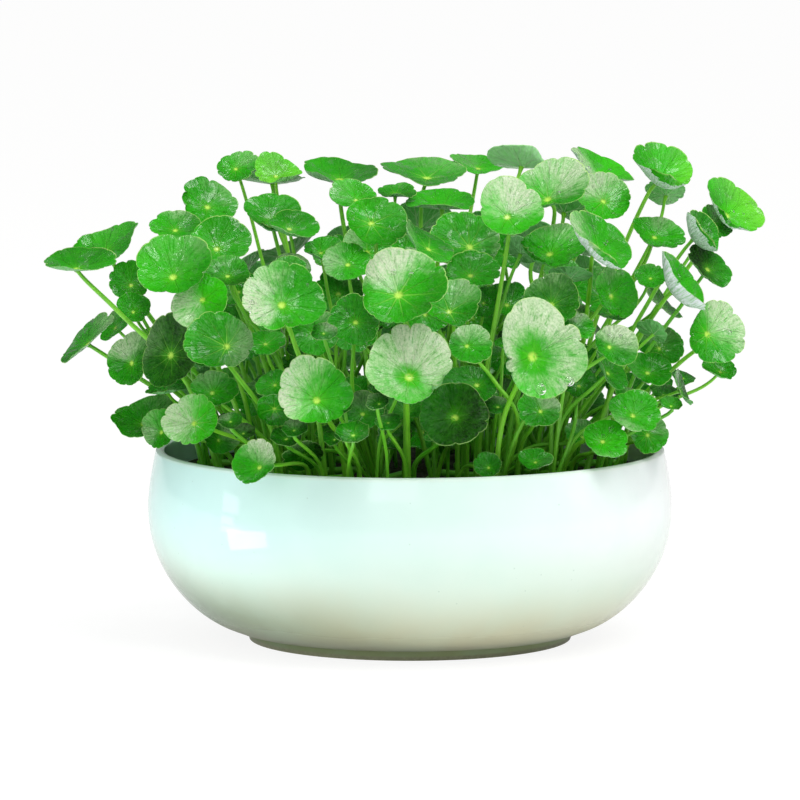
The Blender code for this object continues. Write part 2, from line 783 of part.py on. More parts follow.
def make_shoot(name, line, stalks, parts, tools):
    """A runner with its leaves joined on."""
    radii = [RUNNER_RADIUS] * (len(line) - 1) + [RUNNER_RADIUS * 0.6]
    shoot = rod(name, line, radii, parts)
    for number, stalk in enumerate(stalks):
        piece = f"{name}_{number}"
        boolean(shoot, as_operand(stalk_rod(piece + "_stalk", stalk, tools, False)), "UNION")
        boolean(shoot, as_operand(blade(piece + "_blade", stalk.leaf, tools)), "UNION")
    return shoot


def new_collection(name):
    collection = bpy.data.collections.new(name)
    bpy.context.scene.collection.children.link(collection)
    return collection


def main():
    for obj in list(bpy.data.objects):
        remove(obj)
    parts = new_collection("potted_pennywort")
    tools = new_collection("cutters_and_guides")
    stalks, shoots, _clump = grow()
    make_bowl(parts)
    make_soil(parts, make_holes([stalk.foot[:2] for stalk in stalks], tools))
    for number, stalk in enumerate(stalks, 1):
        leaf = make_leaf(f"leaf_{number:02d}", stalk, parts, tools)
        leaf.data.materials.append(material(leaf.name + "_green", (0.07, 0.33, 0.03), 0.28))
    for number, (line, group) in enumerate(shoots, 1):
        shoot = make_shoot(f"shoot_{number:02d}", line, group, parts, tools)
        shoot.data.materials.append(material(shoot.name + "_green", (0.05, 0.25, 0.025), 0.3))


if __name__ == "__main__":
    main()
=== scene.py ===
"""Looks of the potted pennywort: a glazed bowl, its soil, and leaves on stalks and runners.

The frame gives every place: each leaf's hub, size and direction, and each stalk's route, are
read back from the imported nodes. -Y is the front.
"""

import math

import bpy
import numpy as np
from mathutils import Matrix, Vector


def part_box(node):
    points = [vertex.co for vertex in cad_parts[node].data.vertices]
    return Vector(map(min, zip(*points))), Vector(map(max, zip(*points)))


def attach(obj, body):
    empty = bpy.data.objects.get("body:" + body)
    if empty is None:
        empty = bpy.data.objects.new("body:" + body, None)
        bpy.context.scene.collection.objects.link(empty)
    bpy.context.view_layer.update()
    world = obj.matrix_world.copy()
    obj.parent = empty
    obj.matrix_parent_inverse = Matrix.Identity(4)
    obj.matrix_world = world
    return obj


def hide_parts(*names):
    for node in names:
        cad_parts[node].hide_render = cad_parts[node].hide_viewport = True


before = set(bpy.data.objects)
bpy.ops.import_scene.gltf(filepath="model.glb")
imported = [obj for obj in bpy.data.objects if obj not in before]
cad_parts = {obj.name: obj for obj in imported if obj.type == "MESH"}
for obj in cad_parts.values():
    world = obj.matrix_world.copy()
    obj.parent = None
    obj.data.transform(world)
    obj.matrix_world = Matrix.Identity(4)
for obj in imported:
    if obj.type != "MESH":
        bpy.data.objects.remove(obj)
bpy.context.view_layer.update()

MM = 0.001
SOIL_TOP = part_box("soil")[1].z
UNDERGROWTH = 110  # how many young stalks stand between those of the large leaves
WET_FROM = 34  # the single leaves from this number on carry rain drops

# ---------------------------------------------------------------- meshes


def make_piece(name, points, faces, materials, coords=None, looks=None, slots=None):
    """A smooth-shaded mesh from arrays. coords holds one (u, v) per face corner, in face order;
    looks holds named numbers per vertex; slots holds one material index per face."""
    mesh = bpy.data.meshes.new(name)
    mesh.from_pydata(points, [], faces)
    mesh.shade_smooth()
    for mat in materials:
        mesh.materials.append(mat)
    if slots is not None:
        mesh.polygons.foreach_set("material_index", np.asarray(slots, np.int32))
    if coords is not None:
        layer = mesh.uv_layers.new(name="surface")
        layer.uv.foreach_set("vector", np.asarray(coords, np.float32).ravel())
    for key, values in (looks or {}).items():
        attribute = mesh.attributes.new(key, "FLOAT", "POINT")
        attribute.data.foreach_set("value", np.asarray(values, np.float32))
    mesh.update()
    obj = bpy.data.objects.new(name, mesh)
    bpy.context.scene.collection.objects.link(obj)
    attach(obj, "root")
    return obj


class Shape:
    """Surfaces gathered into one mesh: quads and triangles as rows of four and three indices."""

    def __init__(self):
        self.points, self.count = [], 0
        self.faces, self.coords, self.slots = [], [], []
        self.looks = {}

    def add(self, points, faces, coords, slot, looks):
        """faces and coords are matching lists of index arrays and of (u, v) arrays."""
        for key, value in looks.items():
            self.looks.setdefault(key, []).append(np.broadcast_to(value, len(points)))
        self.points.append(points)
        for face, coord in zip(faces, coords):
            self.faces += (face + self.count).tolist()
            self.coords.append(coord.reshape(-1, 2))
            self.slots.append(np.full(len(face), slot))
        self.count += len(points)

    def piece(self, name, materials):
        """One object from all that was gathered."""
        looks = {key: np.concatenate(values) for key, values in self.looks.items()}
        return make_piece(
            name,
            np.vstack(self.points),
            self.faces,
            materials,
            np.vstack(self.coords),
            looks,
            np.concatenate(self.slots),
        )


def grid_faces(rows, columns, start=0, flip=False):
    """Quads over a grid of rows by columns points that closes round its columns. Gives the point
    indices, and the row and column numbers of every corner, without wrapping."""
    row, column = np.meshgrid(np.arange(rows - 1), np.arange(columns), indexing="ij")
    row = row.ravel()[:, None] + np.array([0, 0, 1, 1])
    column = column.ravel()[:, None] + np.array([0, 1, 1, 0])
    if flip:
        row, column = row[:, ::-1], column[:, ::-1]
    return start + row * columns + column % columns, row, column


def fan_faces(hub, ring, flip=False):
    """Triangles from one point to a closed ring of points, and the column of each corner."""
    count = len(ring)
    column = np.arange(count)[:, None] + np.array([0.5, 0, 1])
    face = np.column_stack([np.full(count, hub), ring, np.roll(ring, -1)])
    if flip:
        column, face = column[:, ::-1], face[:, ::-1]
    return face, column


# ---------------------------------------------------------------- reading the frame

CAD_BLADE = 1.0 * MM  # how thick a blade is in the CAD
SHORTEST_SPOKE = 5 * MM  # from the hub to the rim of the smallest blade
LONGEST_SIDE = 4.2 * MM  # of a ring of a rod; the edges along the rod are longer
RIM_WIDTH = 1.7 * MM  # the blade's own points lie this near to the corners of its rim
ROUTE_END = 6.5 * MM  # how high over the soil a stalk's lowest ring is at most


def welded(node):
    """A CAD node's points with doubles merged, its triangles, and its edges."""
    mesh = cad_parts[node].data
    co = np.empty(len(mesh.vertices) * 3, np.float32)
    mesh.vertices.foreach_get("co", co)
    corners = np.empty(len(mesh.loops), np.int32)
    mesh.loops.foreach_get("vertex_index", corners)
    grid, index = np.unique(
        np.round(co.reshape(-1, 3) / 1e-6).astype(np.int64), axis=0, return_inverse=True
    )
    triangles = index.ravel()[corners].reshape(-1, 3)
    edges = np.vstack([triangles[:, [0, 1]], triangles[:, [1, 2]], triangles[:, [2, 0]]])
    return grid * 1e-6, triangles, np.unique(np.sort(edges, axis=1), axis=0)


def find_hubs(points, triangles, edges):
    """The blades of a node: hub, upward direction, radius and cup, from the closed fans of eight
    or ten triangles round the points that have the long, equal edges of a blade's upper side."""
    found = []
    degree = np.bincount(edges.ravel(), minlength=len(points))
    for hub in np.flatnonzero((degree == 8) | (degree == 10)):
        touching = edges[(edges == hub).any(axis=1)]
        rim = touching.sum(axis=1) - hub
        spokes = points[rim] - points[hub]
        lengths = np.linalg.norm(spokes, axis=1)
        if lengths.min() < SHORTEST_SPOKE or np.ptp(lengths) > 0.1 * lengths.mean():
            continue
        fan = triangles[(triangles == hub).any(axis=1)]
        if len(fan) != degree[hub]:
            continue
        a, b, c = points[fan].transpose(1, 0, 2)
        axis = np.cross(b - a, c - a).sum(axis=0)
        axis /= np.linalg.norm(axis)
        rise = (spokes @ axis).mean()
        radius = np.sqrt((lengths**2).mean() - rise**2)
        found.append({
            "hub": points[hub] - axis * 0.5 * CAD_BLADE,
            "top": points[hub],
            "axis": axis,
            "radius": radius,
            "cup": rise / radius,
            "rim": rim,
        })
    return found


def label_rings(points, edges, kept):
    """Numbers the points by the ring of a rod that they lie on: points joined by short edges."""
    lengths = np.linalg.norm(points[edges[:, 0]] - points[edges[:, 1]], axis=1)
    short = edges[lengths < LONGEST_SIDE]
    short = short[kept[short].all(axis=1)]
    label = np.arange(len(points))
    while True:
        before = label.copy()
        low = np.minimum(label[short[:, 0]], label[short[:, 1]])
        np.minimum.at(label, short[:, 0], low)
        np.minimum.at(label, short[:, 1], low)
        if (label == before).all():
            return label


def read_plant(node):
    """The leaves of a node with their stalks' routes, hub first."""
    points, triangles, edges = welded(node)
    leaves = find_hubs(points, triangles, edges)
    kept = np.ones(len(points), bool)
    for leaf in leaves:
        for corner in points[leaf["rim"]]:
            kept &= np.linalg.norm(points - corner, axis=1) > RIM_WIDTH
        kept &= np.linalg.norm(points - leaf["top"], axis=1) > 0.1 * MM
    label = label_rings(points, edges, kept)
    label[~kept] = -1
    names = np.unique(label[kept])
    centres = {name: points[label == name].mean(axis=0) for name in names}
    ends = label[edges]
    ends = ends[(ends >= 0).all(axis=1) & (ends[:, 0] != ends[:, 1])]
    near = {name: set() for name in names}
    for a, b in np.unique(ends, axis=0):
        near[a].add(b)
        near[b].add(a)
    for leaf in leaves:
        here = min(names, key=lambda name: np.linalg.norm(centres[name] - leaf["hub"]))
        route, seen = [leaf["hub"]], {here}
        while centres[here][2] > SOIL_TOP + ROUTE_END:
            ahead = [name for name in near[here] - seen]
            if not ahead:
                break
            here = min(ahead, key=lambda name: np.linalg.norm(centres[name] - centres[here]))
            seen.add(here)
            route.append(centres[here])
        leaf["route"] = np.array(route)
    return leaves


# ---------------------------------------------------------------- curves and tubes


def smooth_route(corners, per_stretch):
    """Points on a Catmull-Rom curve through the corners: on each stretch, the cubic that leaves
    every corner in the direction between that corner's neighbours."""
    padded = np.vstack([2 * corners[0] - corners[1], corners, 2 * corners[-1] - corners[-2]])
    order = np.linspace(0, len(corners) - 1, (len(corners) - 1) * per_stretch + 1)
    index = np.minimum(order.astype(int), len(corners) - 2)
    t = (order - index)[:, None]
    a, b, c, d = (padded[index + k] for k in range(4))
    return 0.5 * (
        2 * b + (c - a) * t + (2 * a - 5 * b + 4 * c - d) * t**2 + (3 * b - a - 3 * c + d) * t**3
    )


def add_tube(shape, route, radii, sides, slot, looks):
    """A round tube: at each point of the route, a circle of that radius square to the route.
    Both ends are closed by a fan. v runs from 0 to 1 along it and u once around it."""
    ahead = np.gradient(route, axis=0)
    ahead /= np.linalg.norm(ahead, axis=1, keepdims=True)
    steady = np.eye(3)[np.abs(ahead).max(axis=0).argmin()]
    side = np.cross(ahead, steady)
    side /= np.linalg.norm(side, axis=1, keepdims=True)
    other = np.cross(ahead, side)
    turn = np.arange(sides) * 2 * math.pi / sides
    ring = np.cos(turn)[:, None] * side[:, None] + np.sin(turn)[:, None] * other[:, None]
    rows = len(route)
    points = (route[:, None] + ring * np.broadcast_to(radii, rows)[:, None, None]).reshape(-1, 3)
    points = np.vstack([points, route[0], route[-1]])
    quads, row, column = grid_faces(rows, sides, flip=True)
    first, first_column = fan_faces(rows * sides, np.arange(sides), flip=False)
    last_ring = (rows - 1) * sides + np.arange(sides)
    last, last_column = fan_faces(rows * sides + 1, last_ring, flip=True)
    coords = [
        np.stack([column / sides, row / (rows - 1)], axis=-1),
        np.stack([first_column / sides, np.zeros_like(first_column)], axis=-1),
        np.stack([last_column / sides, np.ones_like(last_column)], axis=-1),
    ]
    shape.add(points, [quads, first, last], coords, slot, looks)


# ---------------------------------------------------------------- a leaf

# Where the rings of points of a blade lie, as shares of the way from the hub to the edge: on a
# single leaf, on a shoot's leaf, and on a blade of the undergrowth.
EDGE_RINGS = np.array([0.05, 0.12, 0.2, 0.3, 0.42, 0.54, 0.65, 0.75, 0.84, 0.91, 0.96, 0.985, 1])
PLAIN_RINGS = np.array([0.07, 0.18, 0.32, 0.48, 0.64, 0.79, 0.91, 0.97, 1])
SMALL_RINGS = np.array([0.4, 1])
BLADE_THICKNESS = 0.5 * MM
DIMPLE = 0.03  # how deep the blade sinks over its stalk, as a share of its radius


def turn_between(angle, other):
    """The turn from one angle to another in degrees, from -180 to 180."""
    return (other - angle + 180) % 360 - 180


def lobed(phase, notches, fine):
    """How far out the edge is at a phase, which grows by one from each notch to the next: a row of
    round lobes, each with three small scallops. notches holds the depth of each notch."""
    depth = np.interp(phase, np.arange(len(notches) + 1), np.append(notches, notches[0]))
    lobe = 1 - depth * (1 - np.abs(np.sin(math.pi * phase)) ** 0.5)
    return lobe * (1 - fine * (1 - np.abs(np.sin(3 * math.pi * phase)) ** 0.7))


def blade_edge(look, draw, per_lobe):
    """The phase and angle of each column of points, and how far out the edge is there as a share
    of the radius: a circle seen from a hub beside its middle, times slow waves, times lobes. It
    is scaled to a little more than a plain circle's area."""
    lobes = look.get("lobes", int(draw.integers(7, 12)))
    bounds = np.arange(lobes) + draw.uniform(-0.2, 0.2, lobes)
    bounds = np.append(bounds, bounds[0] + lobes) * 2 * math.pi / lobes
    notches = 0.035 + 0.11 * draw.random(lobes) ** 1.7
    for angle, depth in look.get("notches", []):
        gap = turn_between(np.degrees(bounds[:-1]), angle)
        which = np.abs(gap).argmin()
        bounds[which] += math.radians(gap[which])
        notches[which] = depth
    bounds[-1] = bounds[0] + 2 * math.pi
    phase = np.arange(lobes * per_lobe + 1) / per_lobe
    angle = np.interp(phase, np.arange(lobes + 1), bounds)
    toward, share = look["hub"]
    off = angle - math.radians(toward)
    edge = np.sqrt(1 - (share * np.sin(off)) ** 2) - share * np.cos(off)
    for times, size in ((2, 0.04), (3, 0.03), (4, 0.018)):
        edge *= 1 + size * np.cos(times * angle - draw.uniform(0, 2 * math.pi))
    edge *= lobed(phase, notches, 0.01)
    long_way, stretch = look.get("long", (0, 0))
    edge *= 1 + stretch * np.cos(2 * (angle - math.radians(long_way)))
    return phase[:-1], angle[:-1], edge[:-1] * 1.015 / np.sqrt((edge**2).mean())


def leaf_directions(axis):
    """Down and right in the plane of a blade, as seen by whoever its upper side faces."""
    down = np.array((0, 0, -1.0)) - axis * -axis[2]
    if np.linalg.norm(down) < 0.02:
        down = np.array((0, -1.0, 0)) + axis * axis[1]
    down /= np.linalg.norm(down)
    return down, np.cross(axis, down)


def hub_of(leaf, look):
    """The point that the veins fan out from, which a look can put beside the blade's middle."""
    down, right = leaf_directions(leaf["axis"])
    toward, share = look["hub"]
    turn = math.radians(toward)
    way = down * math.cos(turn) + right * math.sin(turn)
    return leaf["hub"] + way * share * leaf["radius"]


def blade_height(look, draw, rho, phase, angle, cup):
    """The height of the blade over its hub as a share of its radius: cup * about (rho + rho^2) / 2
    + slow waves and fine pleats that grow towards the edge - a sunken line along each vein
    + tissue that swells between the veins - a dimple over the stalk + an edge that turns up or
    down + a slant on both sides of a crease + folds, as bells round an angle."""
    starts = draw.uniform(0, 2 * math.pi, 5)
    wave = draw.uniform(0.03, 0.09)
    waves = wave * np.sin(2 * angle + starts[0]) + 0.6 * wave * np.sin(3 * angle + starts[1])
    waves = waves + 0.02 * np.sin(5 * angle + starts[2])
    pleats = np.sin(13 * angle + starts[3]) + np.sin(19 * angle + starts[4])
    within = phase - np.floor(phase) - 0.5
    height = cup * (0.45 * rho + 0.55 * rho**2.2) + rho**2.4 * waves + 0.004 * rho**3 * pleats
    height = height - 0.009 * np.exp(-((within * rho / 0.045) ** 2)) * rho * (1 - 0.7 * rho)
    height = height + 0.018 * np.sin(2 * math.pi * np.abs(within)) * rho**1.5 * (1.25 - rho)
    height = height - DIMPLE * np.exp(-((rho / 0.16) ** 2))
    turned_up = draw.uniform(-0.3, 0.18)
    height = height + turned_up * np.clip(rho - 0.7, 0, 1) ** 1.5
    crease, lean = draw.uniform(0, math.pi), draw.uniform(-0.1, 0.16)
    height = height + lean * np.abs(rho * np.sin(angle - crease)) ** 1.6
    for fold_angle, fold_width, fold_rise in look.get("folds", []):
        near = turn_between(fold_angle, np.degrees(angle)) / fold_width
        height = height + fold_rise * np.exp(-(near**2)) * rho**2
    return height + rim_curl(look, rho, angle)


def rim_curl(look, rho, angle):
    """How far the rim turns up as a share of the radius: for each curl, its rise * rho^6 * a flat
    bell round its angle."""
    curls = np.zeros_like(rho + angle)
    for curl_angle, curl_width, curl_rise in look.get("curls", []):
        near = turn_between(curl_angle, np.degrees(angle)) / curl_width
        curls = curls + curl_rise * np.exp(-(near**4)) * rho**6
    return curls


def add_blade(shape, leaf, draw, rings, per_lobe, look):
    """A round, lobed blade about its hub: a grid of rings by columns that blade_edge puts in place
    in the blade's plane and blade_height lifts along its axis. Two such skins are closed by a
    strip at the edge. Gives the upper skin's points as rings by columns, and their angles.

    The materials read these values from its points: tone from dark to light, partly the leaf's own
    and partly painted shade and light; bloom for how strong the pale bloom is, partly wax and
    partly a painted sheen; reached for where it lies on the upper side and how white the lower side
    is, which is frost and painted sheen; under for the lower side, and veined for how pale the
    veins are."""
    phase, angle, edge = blade_edge(look, draw, per_lobe)
    columns = len(phase)
    rho, p, a = rings[:, None], phase[None], angle[None]
    radius, axis, hub = leaf["radius"], leaf["axis"], hub_of(leaf, look)
    reach = radius * (rho * (1 + (edge - 1) * rho**1.5) - 0.5 * rim_curl(look, rho, a))
    height = radius * blade_height(look, draw, rho, p, a, leaf["cup"])
    down, right = leaf_directions(axis)
    flat = down * (reach * np.cos(a))[..., None] + right * (reach * np.sin(a))[..., None]
    middle = hub + flat + axis * height[..., None]
    half = (BLADE_THICKNESS / 2 * (1.1 - 0.5 * rho))[..., None] * axis
    dimple = axis * radius * -DIMPLE
    skin = BLADE_THICKNESS * 0.55 * axis
    upper = np.vstack([hub + dimple + skin, (middle + half).reshape(-1, 3)])
    lower = np.vstack([hub + dimple - skin, (middle - half).reshape(-1, 3)])
    count = len(rings)
    faces, coords = [], []
    for flip, start in ((False, 0), (True, len(upper))):
        fan, fan_column = fan_faces(start, start + 1 + np.arange(columns), flip)
        radial = np.where(fan == start, 0.0, rings[0])
        quads, row, column = grid_faces(count, columns, start + 1, flip=not flip)
        faces += [fan, quads]
        coords += [
            np.stack([fan_column / per_lobe, radial], axis=-1),
            np.stack([column / per_lobe, rings[row]], axis=-1),
        ]
    outermost = 1 + (count - 1) * columns + np.arange(columns)
    below = outermost + len(upper)
    faces.append(np.column_stack([outermost, below, np.roll(below, -1), np.roll(outermost, -1)]))
    column = np.arange(columns)[:, None] + np.array([0, 0, 1, 1])
    coords.append(np.stack([column / per_lobe, np.ones_like(column)], axis=-1))
    # The bloom is partly wax and partly a painted sheen; reached is where it lies, and on the lower side
    # the frost, which is partly painted sheen too.
    strength, toward, start, end = look["wax_and_sheen"]
    across = rho**0.6 * np.cos(a - math.radians(toward)) + 0.18 * draw.normal() * np.sin(2 * a)
    reached = np.clip((across - start + 0.2) / (end - start + 0.4), 0, 1)
    core = look.get("core", 0)
    reached = reached * np.clip((rho - 0.5 * core) / (core + 0.01), 0, 1)
    # Painted shade and light: the tone rises towards one side of the blade and falls towards the other, as
    # if that side were lit.
    lit_side, contrast = look["shade"]
    shade = look["tone_and_shading"] + contrast * rho * np.cos(a - math.radians(lit_side))
    values = {
        "tone_and_shading": np.concatenate([[look["tone_and_shading"]], shade.ravel(), np.full(len(lower), look["tone_and_shading"])]),
        "wax_and_sheen": strength,
        "reached": np.concatenate([
            [reached[0].mean()], reached.ravel(), np.full(len(lower), look["frost_and_sheen"]),
        ]),
        "under": np.repeat([0.0, 1.0], len(upper)),
        "veined": look["veins"],
    }
    shape.add(np.vstack([upper, lower]), faces, coords, 0, values)
    return middle + half, angle


def add_stalk(shape, leaf, look, sides, per_stretch):
    """The stalk from soil or runner up to the hub, a little thicker at both ends."""
    corners = leaf["route"][::-1].copy()
    corners[0, 2] = min(corners[0, 2], SOIL_TOP + 2 * MM) - 3 * MM
    corners[-1] = hub_of(leaf, look) - leaf["axis"] * (DIMPLE * leaf["radius"] - 0.1 * MM)
    route = smooth_route(corners, per_stretch)
    share = np.linspace(0, 1, len(route))
    slim = 0.55 + 0.45 * min(leaf["radius"] / (16 * MM), 1)
    foot, neck = np.exp(-((share / 0.05) ** 2)), np.exp(-(((1 - share) / 0.03) ** 2))
    radii = slim * MM * (1.3 - 0.45 * share + 0.25 * foot + 0.5 * neck)
    add_tube(shape, route, radii, sides, 1, stalk_values(look["tone_and_shading"]))


def stalk_values(tone_and_shading):
    """A tube has the attributes of a blade too, because both are in one mesh."""
    return {"tone_and_shading": tone_and_shading, "wax_and_sheen": 0.0, "reached": 0.0, "under": 0.0, "veined": 0.0}


# ---------------------------------------------------------------- materials


def linear(colour):
    """An sRGB hex colour as the linear values that a shader takes."""
    value = np.array([int(colour[i : i + 2], 16) for i in (1, 3, 5)]) / 255
    value = np.where(value <= 0.04045, value / 12.92, ((value + 0.055) / 1.055) ** 2.4)
    return (*value.tolist(), 1.0)


def add(tree, kind, inputs=(), out=0, **settings):
    """Adds a shader node with its settings and gives one of its outputs. inputs lists values, hex
    colours and links in the order of the sockets, or by the sockets' names or numbers."""
    node = tree.nodes.new("ShaderNode" + kind)
    for key, value in settings.items():
        setattr(node, key, value)
    for key, value in inputs.items() if isinstance(inputs, dict) else enumerate(inputs):
        if isinstance(value, bpy.types.NodeSocket):
            tree.links.new(value, node.inputs[key])
        else:
            node.inputs[key].default_value = linear(value) if isinstance(value, str) else value
    return node.outputs[out] if node.outputs else None


SMOOTH = {"interpolation_type": "SMOOTHSTEP"}


def product(tree, *factors):
    """The product of values. A tuple stands for a pattern that is smoothly spread: it holds the
    pattern, the two values that it changes between, and, if they aren't 0 and 1, what it is
    there."""
    result = None
    for factor in factors:
        if isinstance(factor, tuple):
            factor = add(tree, "MapRange", factor, **SMOOTH)
        if result is None:
            result = factor
        else:
            result = add(tree, "Math", [result, factor], operation="MULTIPLY")
    return result


def layered(tree, base, *layers, fade="SMOOTHSTEP"):
    """A colour with others laid over it in turn. A layer is its colour and its share, or its
    colour and, for a pattern that is spread, what a product's tuple holds."""
    for colour, share, *spread in layers:
        if spread:
            share = add(tree, "MapRange", [share, *spread], interpolation_type=fade)
        base = add(tree, "Mix", {0: share, 6: base, 7: colour}, 2, data_type="RGBA")
    return base


def relief(tree, *layers):
    """Bumps on top of each other. A layer is its pattern, how high a pattern's value of 1 stands
    in metres and, if it isn't 1, its strength."""
    inputs = {}
    for height, distance, *strength in layers:
        inputs |= {"Height": height, "Distance": distance, "Strength": strength[0] if strength else 1}
        inputs["Normal"] = add(tree, "Bump", inputs)
    return inputs["Normal"]


def new_material(name):
    """A material, its tree and its Object coordinates."""
    mat = bpy.data.materials.new(name)
    mat.use_nodes = True
    mat.node_tree.nodes.clear()
    return mat, mat.node_tree, add(mat.node_tree, "TexCoord", out="Object")


def shaded(mat, **sockets):
    """The material with a Principled shader that has these values and links in its sockets, whose
    names have _ for each space here."""
    sockets = {key.replace("_", " "): value for key, value in sockets.items()}
    surface = add(mat.node_tree, "BsdfPrincipled", sockets)
    add(mat.node_tree, "OutputMaterial", [surface])
    return mat


def blade_material():
    """Living leaf blade, waxy on its upper side. Pale veins fan out from a yellow-green hub and
    fork before the edge, a fine net of tissue lies between them, and the rim is a pale line, partly
    the margin's own colour and partly a painted rim light. The green goes from dark to light with
    the tone, which paints shade on low leaves and light on sunlit ones. Over part of the upper side
    lies a greyish bloom, partly wax and partly a painted sheen that stands for the sky's reflection,
    with painted highlights where it is thickest; it is worn off along fine lines that run out from
    the hub. The underside is a matt, lighter green, painted brighter on sunlit leaves as if light
    shone through, and white where it is frosted with wax and painted with sheen. Rain has left a
    film on parts of the upper side, which gives sharp glints."""
    mat, tree, place = new_material("pennywort_blade_wax_and_sheen")
    uv = add(tree, "UVMap", uv_map="surface")
    phase, rho = (add(tree, "SeparateXYZ", [uv], axis) for axis in "XY")
    tone_and_shading, wax_and_sheen, reached, under, veined = (
        add(tree, "Attribute", out="Fac", attribute_name=name)
        for name in ("tone_and_shading", "wax_and_sheen", "reached", "under", "veined")
    )
    mottle, blotch, grain, crinkle, haze, damp = (
        add(tree, "TexNoise", {
            "Vector": place, "Scale": 1 / (size * MM), "Detail": detail,
            "Roughness": roughness, "Distortion": distortion,
        })
        for size, detail, roughness, distortion in (
            (4, 3, 0.6, 0), (16, 2, 0.5, 0), (0.9, 2, 0.6, 0),
            (2, 3, 0.6, 0), (3, 3, 0.5, 0), (7, 3, 0.6, 0.5),
        )
    )
    # Patterns that run out from the hub: noise on the UV map, drawn out along rho. On the large
    # blades their grains are about 1.4 by 5 mm, and 3.7 by 14 mm.
    streaks, pleats = (
        add(tree, "TexNoise", {
            "Vector": add(tree, "VectorMath", [uv, (*squeeze, 0)], operation="MULTIPLY"),
            "Scale": 1, "Detail": detail, "Roughness": roughness,
        })
        for squeeze, detail, roughness in (((9, 3.5), 4, 0.65), ((3.4, 1.3), 2, 0.6))
    )

    # A vein lies along the middle of each lobe, and thinner ones fork off it half way out.
    within = add(tree, "Math", [add(tree, "Math", [phase], operation="FRACT"), 0.5], operation="SUBTRACT")
    within = add(tree, "Math", [within], operation="ABSOLUTE")
    width = add(tree, "MapRange", [rho, 0, 1, 0.045, 0.012])
    beside = add(tree, "Math", [product(tree, within, rho), width], operation="DIVIDE")
    main = product(tree, (beside, 0.35, 1.2, 1, 0), (rho, 0.5, 0.98, 1, 0.25))
    spread = product(tree, add(tree, "Math", [rho, 0.46], operation="SUBTRACT"), 0.62)
    beside = add(tree, "Math", [within, spread], operation="SUBTRACT")
    beside = product(tree, add(tree, "Math", [beside], operation="ABSOLUTE"), rho)
    forked = product(tree, (beside, 0.004, 0.016, 1, 0), (rho, 0.45, 0.55), 0.6)
    veins = add(tree, "Math", [main, forked], operation="MAXIMUM")
    marked = product(
        tree, veins, (rho, 0.08, 0.6, 0.5, 0.2), add(tree, "MapRange", [veined, 0, 1, 0.15, 1.3])
    )
    # The net's real meshes are finer than can show, so they are drawn 2.38 mm wide.
    mesh = {"Vector": place, "Scale": 1 / (2.38 * MM)}
    net = add(tree, "TexVoronoi", mesh, feature="DISTANCE_TO_EDGE")

    # The bloom, partly wax and partly a painted sheen, ends in a ragged edge and is worn off along
    # the streaks.
    broken = reached
    for pattern, size in ((streaks, 0.5), (mottle, 0.7), (blotch, 0.6)):
        uneven = add(tree, "Math", [pattern, 0.5], operation="SUBTRACT")
        broken = add(tree, "Math", [uneven, size, broken], operation="MULTIPLY_ADD")
    wax_and_sheen_cover = product(
        tree, (broken, 0.1, 1), (reached, 0, 0.4), (grain, 0.35, 0.6, 0.55, 1),
        (streaks, 0.34, 0.46, 0.4, 1), wax_and_sheen,
    )
    # Painted highlights: where the bloom is thickest, patches turn near white.
    thick = add(tree, "Math", [blotch, 0.7, product(tree, streaks, 0.35)], operation="MULTIPLY_ADD")
    thick = add(tree, "Math", [reached, 0.6, thick], operation="MULTIPLY_ADD")
    glare_on_thick_wax = product(tree, (thick, 0.75, 1.3, 0, 0.9), wax_and_sheen_cover)
    # The pale rim line is partly the margin's own colour and partly a painted rim light.
    rim = product(tree, (rho, 0.975, 0.995, 0, 0.75), (blotch, 0.4, 0.6, 0.2, 1))
    # Painted shade and light: the green goes from dark to light with the tone, low for leaves in the
    # clump's shade and high for sunlit ones.
    green = layered(
        tree, "#0B3602", ("#1C9205", tone_and_shading, 0, 0.5), ("#33BF0A", tone_and_shading, 0.5, 1),
        ("#7ADC3A", tone_and_shading, 1, 1.5), fade="LINEAR",
    )
    green = layered(
        tree, green,
        ("#52BE1A", mottle, 0.35, 0.7, 0, 0.16),
        ("#0F4A04", blotch, 0.4, 0.75, 0, 0.3),
        ("#58B830", net, 0, 0.14, 0.08, 0),
        ("#5CCB1E", rho, 0.02, 0.42, 0.4, 0),
        ("#86D44C", marked),
        # Painted sheen: a pale veil, partly wax and partly the sky's reflection, and over it painted
        # highlights where the bloom is thickest.
        (layered(tree, "#90CF79", ("#BEE4A8", streaks)), product(tree, wax_and_sheen_cover, 0.9)),
        (layered(tree, "#CFD6BA", ("#E4EAD4", mottle)), glare_on_thick_wax),
        ("#B4E27C", rim),
        ("#B9E85A", rho, 0.04, 0.14, 1, 0),
    )
    # Painted light: the underside is brighter on sunlit leaves, as if light shone through it, and whiter
    # where frost and painted sheen lie.
    pale = layered(
        tree, "#3A9A2C", ("#5CB852", tone_and_shading, 0.1, 0.6), ("#9CF58C", tone_and_shading, 0.7, 1.3), fade="LINEAR"
    )
    pale = layered(
        tree, pale,
        ("#BFEAAC", product(tree, veins, 0.7)),
        ("#8FD48A", mottle, 0.35, 0.7, 0, 0.4),
        ("#F0F8FC", product(tree, reached, (streaks, 0.35, 0.6, 0.35, 1))),
    )

